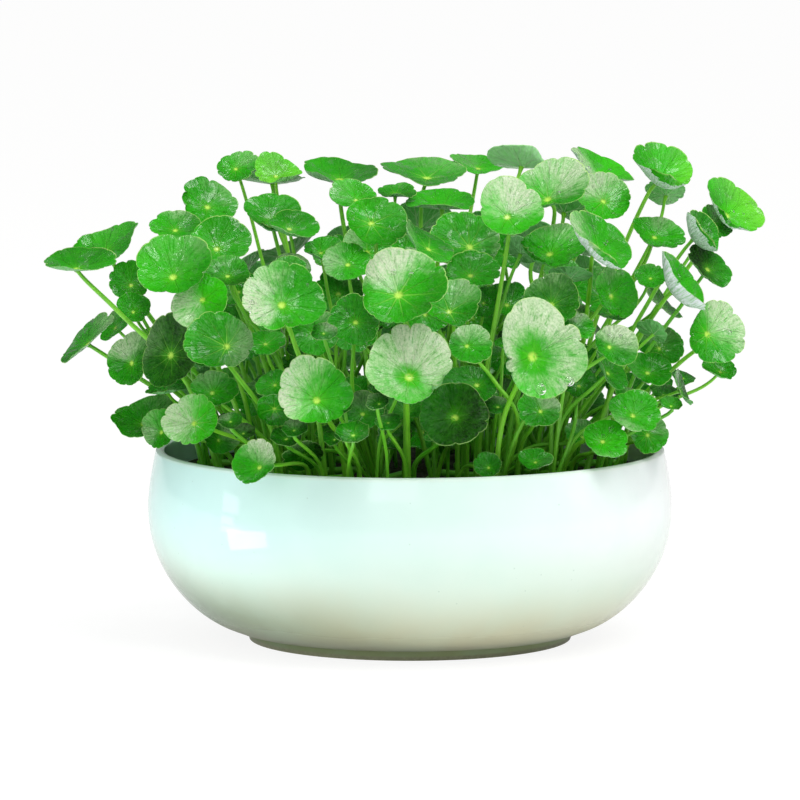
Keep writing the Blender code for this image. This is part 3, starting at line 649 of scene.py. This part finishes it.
    bumps = relief(
        tree, (crinkle, 0.6 * MM), (veins, -0.25 * MM), (streaks, 0.5 * MM, wax_and_sheen_cover),
        (pleats, 1.6 * MM, product(tree, (rho, 0.1, 0.8))),
    )
    film = product(tree, (damp, 0.53, 0.6), (tone_and_shading, 0.15, 0.5))
    matt = add(tree, "MapRange", [haze, 0.3, 0.7, 0.16, 0.34], **SMOOTH)
    matt = add(tree, "Math", [under, 0.2, matt], operation="MULTIPLY_ADD")
    wetted = add(tree, "Math", [film, -0.6, 1], operation="MULTIPLY_ADD")
    return shaded(
        mat, Base_Color=layered(tree, green, (pale, under)), Roughness=product(tree, matt, wetted),
        Normal=bumps, IOR=1.42, Specular_IOR_Level=0.26, Coat_Roughness=0.1, Coat_IOR=1.7,
        Coat_Weight=product(tree, film, (under, 0, 1, 1, 0)), Coat_Normal=bumps,
    )


def stalk_material():
    """Juicy stalk, smooth and half glossy: light yellow-green, and darker towards the soil, with
    lighter lengthwise fibres about half a millimetre wide."""
    mat, tree, place = new_material("pennywort_stalk_smooth")
    uv = add(tree, "UVMap", uv_map="surface")
    up = add(tree, "SeparateXYZ", [uv], "Y")
    drawn_out = add(tree, "VectorMath", [uv, (14, 3, 0)], operation="MULTIPLY")
    fibres = add(tree, "TexNoise", {"Vector": drawn_out, "Scale": 1})
    # Painted shade and light: the stalk takes its leaf's tone, darker with a shaded leaf and lighter with a
    # sunlit one.
    green = layered(
        tree, "#47B514",
        ("#86DE30", add(tree, "Attribute", out="Fac", attribute_name="tone_and_shading")),
        ("#A6E45A", fibres, 0.4, 0.7, 0, 0.5),
        ("#2F7A12", up, 0, 0.3, 0.4, 0),
        ("#37901A", add(tree, "TexNoise", {"Vector": place, "Scale": 1 / (9 * MM)}), 0.45, 0.75, 0, 0.3),
    )
    return shaded(
        mat, Base_Color=green, Roughness=0.36, Normal=relief(tree, (fibres, 0.15 * MM)), IOR=1.42,
        Coat_Weight=0.15, Coat_Roughness=0.25,
    )


def water_material():
    """Clear rain water: colourless, with a smooth skin whose ripples are too small to see."""
    mat, tree, place = new_material("rain_water_clear")
    ripples = add(tree, "TexNoise", {"Vector": place, "Scale": 1 / (1.5 * MM)})
    return shaded(
        mat, Base_Color="#FFFFFF", Roughness=0.02, IOR=1.33, Transmission_Weight=1.0,
        Normal=relief(tree, (ripples, 0.01 * MM)),
    )


def soil_material():
    """Damp potting soil, sifted and pressed: near-black peat crumbs of 1 to 3 mm, with
    lighter fibres and grit here and there. Dull, with a faint wet glint."""
    mat, tree, place = new_material("potting_soil_damp")
    crumb, tint = (
        add(tree, "TexVoronoi", {"Vector": place, "Scale": 1 / (2.22 * MM)}, out)
        for out in ("Distance", "Color")
    )
    lumps = add(tree, "TexNoise", {
        "Vector": place, "Scale": 1 / (7 * MM), "Detail": 4, "Roughness": 0.6,
    })
    brown = layered(
        tree, "#1A130C",
        ("#3A2A1B", lumps, 0.35, 0.7),
        ("#6A5338", tint, 0.75, 0.95, 0, 0.5),
        ("#0D0906", crumb, 0.3, 0.75, 0, 0.7),
    )
    return shaded(
        mat, Base_Color=brown, Normal=relief(tree, (crumb, -1.2 * MM), (lumps, 1.5 * MM)),
        Roughness=add(tree, "MapRange", [lumps, 0.3, 0.7, 0.95, 0.7], **SMOOTH),
    )


def glaze_material():
    """Stoneware under a celadon glaze, dipped and fired. The glaze is thick and milky on the
    side, so it is pale blue-green and very glossy; it runs thin towards the foot, where the
    beige body shows through, and pools darker just over the bare foot ring. Light and shade from
    the right are painted in: the glaze is more cyan on the left and whiter on the right, and on the
    left the thin band reaches higher and is darker, as is the foot. A few pinholes show as faint
    specks under a millimetre wide."""
    mat, tree, place = new_material("celadon_glaze_fired")
    across, height = (add(tree, "SeparateXYZ", [place], axis) for axis in "XZ")
    drift, cloud, waves, clay = (
        add(tree, "TexNoise", {"Vector": place, "Scale": 1 / (size * MM), "Detail": detail})
        for size, detail in ((60, 2), (25, 3), (30, 1), (1.5, 2))
    )
    drift = add(tree, "Math", [drift, 0.5], operation="SUBTRACT")
    level = add(tree, "Math", [drift, 12 * MM, height], operation="MULTIPLY_ADD")
    # Painted shade: left is one on the bowl's left side, which the light from the right leaves darker, and
    # zero towards the right.
    left = add(tree, "MapRange", [across, -120 * MM, 30 * MM, 1, 0], **SMOOTH)
    run = add(tree, "Math", [left, -6 * MM, level], operation="MULTIPLY_ADD")
    pits = add(tree, "TexVoronoi", {"Vector": place, "Scale": 1 / (7.69 * MM)})
    speck = add(tree, "MapRange", [pits, 0.03, 0.07, 0.25, 0], **SMOOTH)
    # Painted light and shade: the thick glaze is more cyan on the left and whiter on the right.
    thick = layered(
        tree, "#D8FFFD", ("#E5FCF4", across, -130 * MM, 50 * MM),
        ("#F8FFFF", across, 30 * MM, 110 * MM),
    )
    colour = layered(
        tree, "#E2F3E4",
        (thick, level, 25 * MM, 65 * MM),
        (layered(tree, "#C9C4A2", ("#778F72", left)), run, 6 * MM, 42 * MM, 0.95, 0),
        ("#9DA083", level, 3 * MM, 13 * MM, 0.9, 0),
        (layered(tree, "#9CA97A", ("#7F9268", left)), height, 3.5 * MM, 6.2 * MM, 1, 0),
        ("#E8F5E6", height, 85.5 * MM, 87.8 * MM, 0, 0.45),
        ("#C4EFE4", cloud, 0.4, 0.7, 0, 0.1),
        ("#8FB3A2", speck),
        (layered(tree, "#7F8468", ("#A8A98C", clay)), height, 1.2 * MM, 2.4 * MM, 1, 0),
    )
    gloss = add(tree, "MapRange", [cloud, 0.3, 0.7, 0.06, 0.11], **SMOOTH)
    thin = add(tree, "MapRange", [height, 4 * MM, 22 * MM, 0.4, 0], **SMOOTH)
    return shaded(
        mat, Base_Color=colour, Roughness=add(tree, "Math", [gloss, thin], operation="ADD"),
        Normal=relief(tree, (waves, 0.06 * MM), (speck, -0.1 * MM)), IOR=1.5,
        Coat_Weight=0.15, Coat_Roughness=0.04,
    )


# ---------------------------------------------------------------- bowl and soil


def profile_of(node):
    """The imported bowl's section: the points in one half-plane through its axis, in order from
    the floor inside to the recess underneath, with a point on the axis at both ends."""
    points, _triangles, edges = welded(node)
    out = np.hypot(points[:, 0], points[:, 1])
    turn = np.arctan2(points[:, 1], points[:, 0])
    start = turn[np.abs(turn[out > 1 * MM]).argmin()]
    here = (np.abs(turn - start) < 1e-3) & (out > 1 * MM)
    near = {index: [] for index in np.flatnonzero(here)}
    for a, b in edges[here[edges].all(axis=1)]:
        near[a].append(b)
        near[b].append(a)
    ends = [index for index in near if len(near[index]) == 1]
    chain = [max(ends, key=lambda index: points[index, 2])]
    while True:
        ahead = [index for index in near[chain[-1]] if index not in chain]
        if not ahead:
            section = np.column_stack([out[chain], points[chain, 2]])
            return np.vstack([(0, section[0, 1]), section, (0, section[-1, 1])])
        chain.append(ahead[0])


def turned(profile, columns):
    """A surface of revolution: (radius cos a, radius sin a, height) for each profile point and
    angle a. Its first and last profile points are on the axis, where it closes in a fan."""
    turn = np.arange(columns) * 2 * math.pi / columns
    ring = profile[1:-1]
    rows = len(ring)
    points = np.stack([
        ring[:, :1] * np.cos(turn),
        ring[:, :1] * np.sin(turn),
        np.repeat(ring[:, 1:], columns, axis=1),
    ], axis=-1).reshape(-1, 3)
    points = np.vstack([points, (0, 0, profile[0, 1]), (0, 0, profile[-1, 1])])
    quads, _row, _column = grid_faces(rows, columns, flip=False)
    first, _column = fan_faces(rows * columns, np.arange(columns), flip=False)
    last, _column = fan_faces(rows * columns + 1, (rows - 1) * columns + np.arange(columns), flip=True)
    return points, [*quads.tolist(), *first.tolist(), *last.tolist()]


def rounded(profile, corners, per_stretch):
    """A Catmull-Rom curve along the profile, kept sharp at the numbered corners."""
    parts = []
    for start, end in zip(corners[:-1], corners[1:]):
        part = np.column_stack([profile[start : end + 1], np.zeros(end - start + 1)])
        part = smooth_route(part, per_stretch) if len(part) > 2 else part
        parts.append(part[:-1, :2])
    return np.vstack([*parts, profile[-1:]])


def make_bowl():
    """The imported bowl's section, made smooth and turned. Its last six points, those of the foot
    and the recess, stay sharp corners."""
    section = profile_of("bowl")
    corners = [0, 1, *range(len(section) - 6, len(section))]
    points, faces = turned(rounded(section, corners, 5), 144)
    bowl = make_piece("glazed_bowl", points, faces, [glaze_material()])
    bowl.data.set_sharp_from_angle(angle=math.radians(35))
    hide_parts("bowl")


def make_soil():
    """A round bed of soil. Its top is flat but for clods: the sum of sixty small waves that run in
    all directions, from 5 to 40 mm long, each a 350th of its length high, kept within limits."""
    low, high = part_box("soil")
    edge = (high.x - low.x) / 2
    draw = np.random.default_rng(5)
    columns, rows = 200, 90
    base_height = SOIL_TOP - 8 * MM
    out = np.linspace(0.5 * MM, edge, rows)[:, None]
    turn = np.arange(columns)[None] * 2 * math.pi / columns
    x, y = out * np.cos(turn), out * np.sin(turn)
    bumps = np.zeros_like(x)
    for length in draw.uniform(5, 40, 60) * MM:
        way, phase = draw.uniform(0, 2 * math.pi, 2)
        ahead = x * math.cos(way) + y * math.sin(way)
        bumps += np.sin(2 * math.pi / length * ahead + phase) * length / 350
    top = np.stack([x, y, SOIL_TOP - 0.4 * MM + np.clip(bumps, -2.2 * MM, 1.5 * MM)], axis=-1)
    base = np.stack([x[-1], y[-1], np.full(columns, base_height)], axis=-1)
    middle = [(0, 0, top[0, :, 2].mean()), (0, 0, base_height)]
    points = np.vstack([top.reshape(-1, 3), base, middle])
    quads, _row, _column = grid_faces(rows + 1, columns, flip=True)
    hub, _column = fan_faces((rows + 1) * columns, np.arange(columns))
    under, _column = fan_faces((rows + 1) * columns + 1, rows * columns + np.arange(columns), flip=True)
    faces = [*quads.tolist(), *hub.tolist(), *under.tolist()]
    soil = make_piece("soil_bed", points, faces, [soil_material()])
    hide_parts("soil")


# ---------------------------------------------------------------- the plant

PLANT_HEIGHT = 140 * MM
RUNNER_RADIUS = 1.7 * MM
RUNNER_AXIS = 2.1 * MM  # how high a runner's middle lies over the soil
RUNNER_TOP = 4.4 * MM  # a runner has no point higher over the soil

# What sets a leaf apart, by its number, or by its shoot and its place there. All angles are in
# the blade's plane: 0 is down, 90 to the right, 180 up. tone: from dark to light, partly the
# leaf's own tone and partly painted shade and light. shade: the side that is painted lighter, and
# how much lighter. bloom: how strong the pale bloom is, partly wax and partly a painted sheen, its
# side, and the shares of the radius towards that side where it starts and is full. core: how far
# round the hub it is clear. frost: how white the underside is, partly frost and partly painted
# sheen. veins: how pale they are. hub: its side and its distance from the middle. lobes: how
# many. notches: angle and depth. long: the longer way, and how much longer. folds: angle, width
# and rise, and the same for curls, which turn up the rim only. drops: angle, share of the way
# out, and radius in mm.
LOOKS = {
    1: {
        "tone_and_shading": 0.75, "wax_and_sheen": (0.9, 200, -1.7, 0.1), "core": 0.4, "hub": (317, 0.2), "lobes": 7,
        "notches": [(275, 0.2), (131, 0.17)], "long": (0, 0.03),
        "drops": [(11, 0.78, 2.8), (55, 0.9, 2.3)],
    },
    2: {
        "tone_and_shading": 0.75, "wax_and_sheen": (1.0, 165, -1.5, 0.4), "core": 0.25, "hub": (0, 0.2), "lobes": 10,
        "notches": [(200, 0.13), (45, 0.17)],
    },
    3: {
        "tone_and_shading": 0.7, "wax_and_sheen": (1.0, 185, 0.1, 0.7), "hub": (313, 0.16), "lobes": 10,
        "notches": [(62, 0.18), (128, 0.1)], "long": (115, 0.05),
        "folds": [(45, 30, 0.16)], "drops": [(195, 0.57, 1.3), (149, 0.53, 1.4)],
    },
    4: {
        "tone_and_shading": 0.72, "wax_and_sheen": (1.0, 252, 0.1, 0.6), "hub": (342, 0.16), "lobes": 11,
        "shade": (300, 0.3), "notches": [(288, 0.15), (225, 0.1)],
        "drops": [(128, 0.85, 0.8), (268, 0.75, 1.2), (280, 0.85, 0.8)],
    },
    5: {
        "tone_and_shading": 0.78, "wax_and_sheen": (1.0, 240, 0.1, 0.6), "hub": (13, 0.2), "lobes": 10,
        "shade": (300, 0.35), "notches": [(65, 0.12), (125, 0.09)],
    },
    6: {"tone_and_shading": 0.05, "wax_and_sheen": (0.0, 180, 0, 1), "hub": (90, 0.05)},
    7: {"tone_and_shading": 0.6, "wax_and_sheen": (0.75, 165, 0.1, 0.6), "hub": (270, 0.2)},
    8: {"tone_and_shading": 0.5, "wax_and_sheen": (0.3, 150, 0.0, 0.8), "hub": (60, 0.1)},
    9: {"tone_and_shading": 0.55, "wax_and_sheen": (0.3, 180, 0.2, 0.9), "hub": (335, 0.32)},
    10: {"tone_and_shading": 0.25, "wax_and_sheen": (0.35, 200, 0.3, 1.0)},
    11: {"tone_and_shading": 0.4, "hub": (120, 0.35)},
    12: {"tone_and_shading": 0.5, "wax_and_sheen": (0.85, 170, 0.1, 0.7), "hub": (58, 0.25), "notches": [(105, 0.16)]},
    13: {"tone_and_shading": 1.0, "wax_and_sheen": (0.85, 255, -0.5, 0.6), "hub": (52, 0.16), "veins": 1.0},
    14: {"tone_and_shading": 0.4, "wax_and_sheen": (0.2, 180, 0.3, 1.0)},
    15: {"tone_and_shading": 0.45, "wax_and_sheen": (0.3, 90, -0.2, 0.6), "hub": (80, 0.24), "veins": 1.0},
    16: {"tone_and_shading": 0.85, "wax_and_sheen": (0.9, 290, -0.1, 0.6), "hub": (180, 0.13)},
    17: {"tone_and_shading": 0.08, "wax_and_sheen": (0.15, 260, 0.2, 1.1), "veins": 0.4},
    18: {"tone_and_shading": 0.4},
    19: {"tone_and_shading": 0.45},
    20: {"tone_and_shading": 0.65},
    21: {"tone_and_shading": 0.6, "folds": [(130, 18, 0.1)]},
    22: {"tone_and_shading": 0.68, "wax_and_sheen": (0.15, 180, 0.2, 1.0), "hub": (7, 0.3)},
    23: {"tone_and_shading": 0.7, "wax_and_sheen": (0.0, 180, 0.3, 1.0), "hub": (342, 0.3)},
    24: {"tone_and_shading": 0.65},
    25: {"tone_and_shading": 0.7},
    26: {"tone_and_shading": 0.55, "wax_and_sheen": (0.5, 330, 0.4, 0.9), "curls": [(330, 50, 0.2)]},
    27: {"tone_and_shading": 0.42, "hub": (337, 0.3)},
    28: {"tone_and_shading": 1.35, "wax_and_sheen": (0.1, 180, 0.3, 1.0)},
    29: {"tone_and_shading": 0.6, "wax_and_sheen": (0.05, 120, 0.2, 1.0), "hub": (240, 0.2), "veins": 0.8},
    30: {"tone_and_shading": 0.5},
    31: {"tone_and_shading": 0.6, "wax_and_sheen": (0.6, 235, 0.5, 1.0), "curls": [(235, 45, 0.25)]},
    32: {"tone_and_shading": 0.5, "hub": (53, 0.22)},
    33: {"tone_and_shading": 0.6, "frost_and_sheen": 0.35},
    34: {"tone_and_shading": 0.85, "wax_and_sheen": (0.85, 182, -0.4, 0.6), "core": 0.15, "hub": (336, 0.26)},
    35: {
        "tone_and_shading": 0.75, "wax_and_sheen": (0.8, 185, -0.2, 0.9), "hub": (350, 0.32), "veins": 0.8,
        "drops": [(130, 0.35, 1.5)],
    },
    36: {"tone_and_shading": 0.95, "frost_and_sheen": 0.8, "wax_and_sheen": (0.7, 240, -0.1, 0.7), "curls": [(260, 45, 0.2)]},
    37: {"tone_and_shading": 0.95, "frost_and_sheen": 0.8, "shade": (60, 0.35), "hub": (337, 0.33), "curls": [(325, 70, 0.3)]},
    38: {
        "tone_and_shading": 0.7, "frost_and_sheen": 0.9, "wax_and_sheen": (0.7, 235, 0.1, 0.9), "hub": (335, 0.33),
        "curls": [(300, 70, 0.25)],
    },
    39: {"tone_and_shading": 0.65, "wax_and_sheen": (0.5, 150, 0.3, 1.0), "hub": (330, 0.3), "curls": [(310, 60, 0.25)]},
    40: {
        "tone_and_shading": 1.0, "frost_and_sheen": 0.8, "shade": (90, 0.4), "wax_and_sheen": (0.1, 180, 0.3, 1.0),
        "hub": (310, 0.36), "curls": [(310, 60, 0.2)],
    },
    41: {"tone_and_shading": 0.55, "frost_and_sheen": 0.7, "wax_and_sheen": (0.2, 180, 0.3, 1.0), "curls": [(290, 90, 0.4)]},
    42: {"tone_and_shading": 0.8, "frost_and_sheen": 1.0, "wax_and_sheen": (0.2, 180, 0.3, 1.0), "curls": [(290, 75, 0.3)]},
    43: {"tone_and_shading": 0.7, "shade": (150, 0.2), "wax_and_sheen": (0.85, 118, -0.2, 0.6), "hub": (270, 0.2)},
    44: {
        "tone_and_shading": 0.42, "wax_and_sheen": (0.85, 150, 0.1, 0.7), "hub": (280, 0.28),
        "drops": [(170, 0.5, 1.1), (130, 0.6, 1.0)],
    },
    45: {"tone_and_shading": 0.8, "wax_and_sheen": (0.7, 320, 0.4, 0.9)},
    46: {"tone_and_shading": 0.85, "wax_and_sheen": (0.5, 20, 0.5, 1.0), "hub": (280, 0.1)},
    ("shoot_01", 3): {"tone_and_shading": 1.4, "frost_and_sheen": 0.25},
    ("shoot_05", 9): {"tone_and_shading": 0.3, "frost_and_sheen": 0.0},
    ("shoot_12", 1): {"tone_and_shading": 0.4, "wax_and_sheen": (0.75, 110, -0.2, 0.8), "veins": 0.9},
    ("shoot_12", 2): {"tone_and_shading": 0.8, "wax_and_sheen": (0.75, 190, -0.3, 0.7), "veins": 0.9},
    ("shoot_12", 9): {"tone_and_shading": 0.15, "shade": (60, 0.4), "wax_and_sheen": (0.0, 180, 0.0, 1.0)},
}


def look_of(key, leaf, draw, wet=False):
    """The look by key, filled up by chance: lower leaves get a lower tone, which paints them darker
    as shade in the clump, hubs are mostly low, half of the leaves have a rim that turns up, and wet
    ones have four drops."""
    look = dict(LOOKS.get(key, {}))
    lift = (leaf["hub"][2] - SOIL_TOP) / PLANT_HEIGHT
    look.setdefault("tone_and_shading", float(np.clip(draw.normal(0.34 + 0.37 * lift, 0.16), 0.08, 1.0)))
    strength, toward = draw.uniform(0, 0.7) ** 1.6, draw.normal(190, 50)
    start = draw.uniform(-0.1, 0.5)
    look.setdefault("wax_and_sheen", (strength, toward, start, start + draw.uniform(0.5, 0.9)))
    look.setdefault("hub", (draw.normal(345, 40), draw.uniform(0.03, 0.2)))
    look.setdefault("shade", (draw.normal(270, 70), draw.uniform(0.08, 0.3)))
    if draw.random() < 0.5:
        look.setdefault("curls", [(draw.normal(320, 50), draw.uniform(30, 65), draw.uniform(0.08, 0.24))])
    look.setdefault("veins", draw.random() ** 2)
    look.setdefault("frost_and_sheen", draw.uniform(0, 0.15))
    if wet:
        spots = [(draw.uniform(80, 280), draw.uniform(0.3, 0.85), draw.uniform(0.5, 1.0)) for _ in range(4)]
        look.setdefault("drops", spots)
    return look


def add_drop(shape, skin, angle, turned_to, share, radius):
    """A drop that sits on a leaf: a flattened dome, radius * cos t out and 0.55 * radius * sin t
    high, over a far shallower one below it, at the skin's point that is nearest to an angle and
    a share of the way out."""
    row = np.abs(EDGE_RINGS - share).argmin()
    column = np.abs(turn_between(np.degrees(angle), turned_to)).argmin()
    spot = skin[row, column]
    outward = skin[row + 1, column] - spot
    around = skin[row, (column + 1) % len(angle)] - spot
    up = np.cross(outward, around)
    up /= np.linalg.norm(up)
    outward /= np.linalg.norm(outward)
    side = np.cross(up, outward)
    above, below = 0.55, 0.12
    t = np.radians([70, 45, 20, 0, -40])
    lift = np.where(t > 0, above, below) * np.sin(t)
    columns = 14
    turn = np.arange(columns) * 2 * math.pi / columns
    ring = np.cos(turn)[:, None] * outward + np.sin(turn)[:, None] * side
    points = spot + radius * (np.cos(t)[:, None, None] * ring + lift[:, None, None] * up)
    ends = spot + radius * np.array([[above + 0.01], [-below]]) * up
    quads, _row, _column = grid_faces(len(t), columns)
    top, _column = fan_faces(len(t) * columns, np.arange(columns))
    base, _column = fan_faces(len(t) * columns + 1, (len(t) - 1) * columns + np.arange(columns), flip=True)
    faces = [quads, top, base]
    coords = [np.zeros((*face.shape, 2)) for face in faces]
    shape.add(np.vstack([points.reshape(-1, 3), ends]), faces, coords, 0, {})


def add_runner(shape, low_points):
    """The runner: a tube along the middle of the node's lowest points, found as a curve of the
    fifth degree that gives their sideways place from how far out they are. It thins at its tip."""
    ahead = low_points[:, :2].mean(axis=0)
    ahead /= np.linalg.norm(ahead)
    aside = np.array((-ahead[1], ahead[0]))
    reach, sideways = low_points[:, :2] @ ahead, low_points[:, :2] @ aside
    fitted = np.polynomial.Polynomial.fit(reach, sideways, 5)
    along = np.linspace(reach.min(), reach.max(), 28)
    flat = along[:, None] * ahead + fitted(along)[:, None] * aside
    route = np.column_stack([flat, np.full(len(along), SOIL_TOP + RUNNER_AXIS)])
    radii = RUNNER_RADIUS * (1 - 0.5 * np.exp(-((reach.max() - along) / (4 * MM)) ** 2))
    add_tube(shape, route, radii, 10, 1, stalk_values(0.25))


def make_plants(greens):
    """A piece for every leaf and shoot node, and one for the drops. Gives all the leaves."""
    drops, everything = Shape(), []
    plants = sorted(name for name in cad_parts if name.startswith(("leaf", "shoot")))
    for number, node in enumerate(plants, 1):
        draw = np.random.default_rng(100 + number)
        leaves = read_plant(node)
        planted = node.startswith("leaf")
        shape = Shape()
        for order, leaf in enumerate(leaves):
            key = number if planted else (node, order)
            look = look_of(key, leaf, draw, wet=planted and number >= WET_FROM)
            rings, per_lobe = (EDGE_RINGS, 12) if planted else (PLAIN_RINGS, 6)
            skin, angle = add_blade(shape, leaf, draw, rings, per_lobe, look)
            add_stalk(shape, leaf, look, 10 if planted else 8, 6)
            for turned_to, share, radius in look.get("drops", []):
                add_drop(drops, skin, angle, turned_to, share, radius * MM)
        if not planted:
            points, _triangles, _edges = welded(node)
            add_runner(shape, points[points[:, 2] < SOIL_TOP + RUNNER_TOP])
        piece = shape.piece(node + "_green", greens)
        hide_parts(node)
        everything += leaves
    drops.piece("water_drops", [water_material()])
    return everything


def make_undergrowth(greens, leaves):
    """Young stalks that fill the dark under the leaves, each with a small blade. Each stands where
    chance puts it, if that is clear of the other stalks and if it passes through no blade."""
    draw = np.random.default_rng(11)
    hubs, axes = (np.array([leaf[key] for leaf in leaves]) for key in ("hub", "axis"))
    radii = np.array([leaf["radius"] for leaf in leaves])
    taken = np.vstack([smooth_route(leaf["route"], 6) for leaf in leaves])
    shape, left = Shape(), UNDERGROWTH
    for _ in range(40 * UNDERGROWTH):
        reach, around = 104 * MM * math.sqrt(draw.random()), draw.uniform(0, 2 * math.pi)
        foot = np.array((reach * math.cos(around), reach * math.sin(around), SOIL_TOP - 1 * MM))
        tall, radius = draw.uniform(26, 78) * MM, draw.uniform(4.5, 7.5) * MM
        lean = np.array((foot[0] * 0.25, foot[1] * 0.2 - 6 * MM, 0)) + (*draw.normal(0, 5 * MM, 2), 0)
        hub = foot + lean + (0, 0, tall)
        axis = np.array((foot[0] * 3, foot[1] * 2 - 0.5, 1.0))
        axis /= np.linalg.norm(axis)
        corners = np.array([foot, foot + lean * 0.2 + (0, 0, tall * 0.5), hub - axis * 5 * MM, hub])
        route = smooth_route(corners, 4)
        off = route[:, None] - hubs
        above = np.abs((off * axes).sum(axis=2))
        out = np.linalg.norm(off, axis=2)
        if ((above < 4 * MM) & (out < radii + radius)).any():
            continue
        if np.linalg.norm(route[:, None] - taken, axis=2).min() < 2.6 * MM:
            continue
        leaf = {"hub": hub, "axis": axis, "radius": radius, "cup": 0.2, "route": corners[::-1]}
        # Painted shade: the small blades under the leaves get a low tone.
        look = look_of(None, leaf, draw) | {"tone_and_shading": draw.uniform(0.1, 0.45), "lobes": 7}
        add_blade(shape, leaf, draw, SMALL_RINGS, 2, look)
        add_tube(shape, route, 0.85 * MM, 6, 1, stalk_values(draw.uniform(0, 0.6)))
        taken = np.vstack([taken, route])
        hubs, axes = np.vstack([hubs, hub]), np.vstack([axes, axis])
        radii = np.append(radii, radius)
        left -= 1
        if not left:
            break
    shape.piece("undergrowth", greens)


# ---------------------------------------------------------------- camera, floor and light

MIDDLE = (0, 0, 120 * MM)  # about the object's middle, where the panels point
PANE_WATTS = 6.5e-6  # of each square millimetre of the window


def make_camera():
    """A long lens three metres in front of the bowl's axis and twice as high as the plant, aimed
    at about the object's middle."""
    camera = bpy.data.objects.new("camera", bpy.data.cameras.new("camera"))
    bpy.context.scene.collection.objects.link(camera)
    aim = Vector((-4.6, 0, 109.7)) * MM
    camera.location = (aim.x, -3.0, 0.449)
    camera.rotation_euler = (aim - camera.location).to_track_quat("-Z", "Y").to_euler()
    camera.data.lens = 296
    camera.data.sensor_width = 36
    bpy.context.scene.camera = camera


def seen_directly(tree, mirrored):
    """One where the camera or glass sees the surface, a given share where a glossy surface does,
    and zero elsewhere."""
    camera, glass, glossy = (
        add(tree, "LightPath", out=f"Is {ray} Ray") for ray in ("Camera", "Transmission", "Glossy")
    )
    seen = add(tree, "Math", [camera, glass], operation="MAXIMUM")
    return add(tree, "Math", [seen, product(tree, glossy, mirrored)], operation="MAXIMUM")


def make_surroundings():
    """A white world, and a floor of matt white paper. Seen directly both are plain white, with a
    light shadow on the floor. What the world gives the object is dimmer than what the camera
    sees, and what gloss mirrors is dimmer still, so that leaves and glaze keep their colours."""
    world = bpy.data.worlds.new("studio")
    bpy.context.scene.world = world
    world.use_nodes = True
    tree = world.node_tree
    tree.nodes.clear()
    level = add(tree, "Math", [seen_directly(tree, 0), 0.38, 0.62], operation="MULTIPLY_ADD")
    glossy = add(tree, "LightPath", out="Is Glossy Ray")
    level = add(tree, "Math", [glossy, -0.37, level], operation="MULTIPLY_ADD")
    add(tree, "OutputWorld", [add(tree, "Background", ["#FFFFFF", level])])

    floor_mesh = bpy.data.meshes.new("floor")
    floor_mesh.from_pydata([(-6, -6, 0), (6, -6, 0), (6, 6, 0), (-6, 6, 0)], [], [(0, 1, 2, 3)])
    floor = bpy.data.objects.new("floor", floor_mesh)
    bpy.context.scene.collection.objects.link(floor)
    mat, tree, _place = new_material("studio_floor_matt_white")
    paper = add(tree, "BsdfDiffuse", ["#F4F4F2"])
    white = add(tree, "Emission", ["#FFFFFF", 1.07])
    share = product(tree, seen_directly(tree, 0.4), 0.82)
    add(tree, "OutputMaterial", [add(tree, "MixShader", [share, paper, white])])
    floor_mesh.materials.append(mat)


def softbox(name, place, aim, width, height, watts):
    """A soft lamp that points from its place to the aim and isn't seen itself."""
    light = bpy.data.lights.new(name, "AREA")
    light.shape = "RECTANGLE"
    light.size, light.size_y, light.energy = width, height, watts
    obj = bpy.data.objects.new(name, light)
    bpy.context.scene.collection.objects.link(obj)
    obj.location = place
    obj.rotation_euler = (Vector(aim) - Vector(place)).to_track_quat("-Z", "Y").to_euler()
    obj.visible_camera = False


def make_lamps():
    """A large panel from the upper right, a small lamp for sparkle, a weak panel in front, and a
    window at the left: a sill and three panes, close by, that the glaze mirrors."""
    for name, place, side, watts in (
        ("sky_panel", (0.75, -0.8, 2.0), 1.6, 28),
        ("skylight", (-0.35, -0.55, 2.0), 0.25, 4),
        ("front_panel", (-0.3, -2.4, 1.1), 1.0, 5),
    ):
        softbox(name, place, MIDDLE, side, side, watts)
    softbox("window_sill", (-0.2, -0.128, 0.03), (0, -0.128, 0.03), 0.07, 0.034, 0.03)
    for number, (low, high, wide) in enumerate([(34, 49, 40), (53, 68, 28), (73, 98, 36)]):
        place = Vector((-250, -84 - wide / 2, (low + high) / 2)) * MM
        aim = (0, place.y, place.z)
        tall = high - low
        watts = PANE_WATTS * wide * tall
        softbox(f"window_pane_{number}", place, aim, wide * MM, tall * MM, watts)


make_camera()
make_surroundings()
make_lamps()
make_bowl()
make_soil()
greens = [blade_material(), stalk_material()]
make_undergrowth(greens, make_plants(greens))

bpy.context.scene.view_settings.view_transform = "Standard"
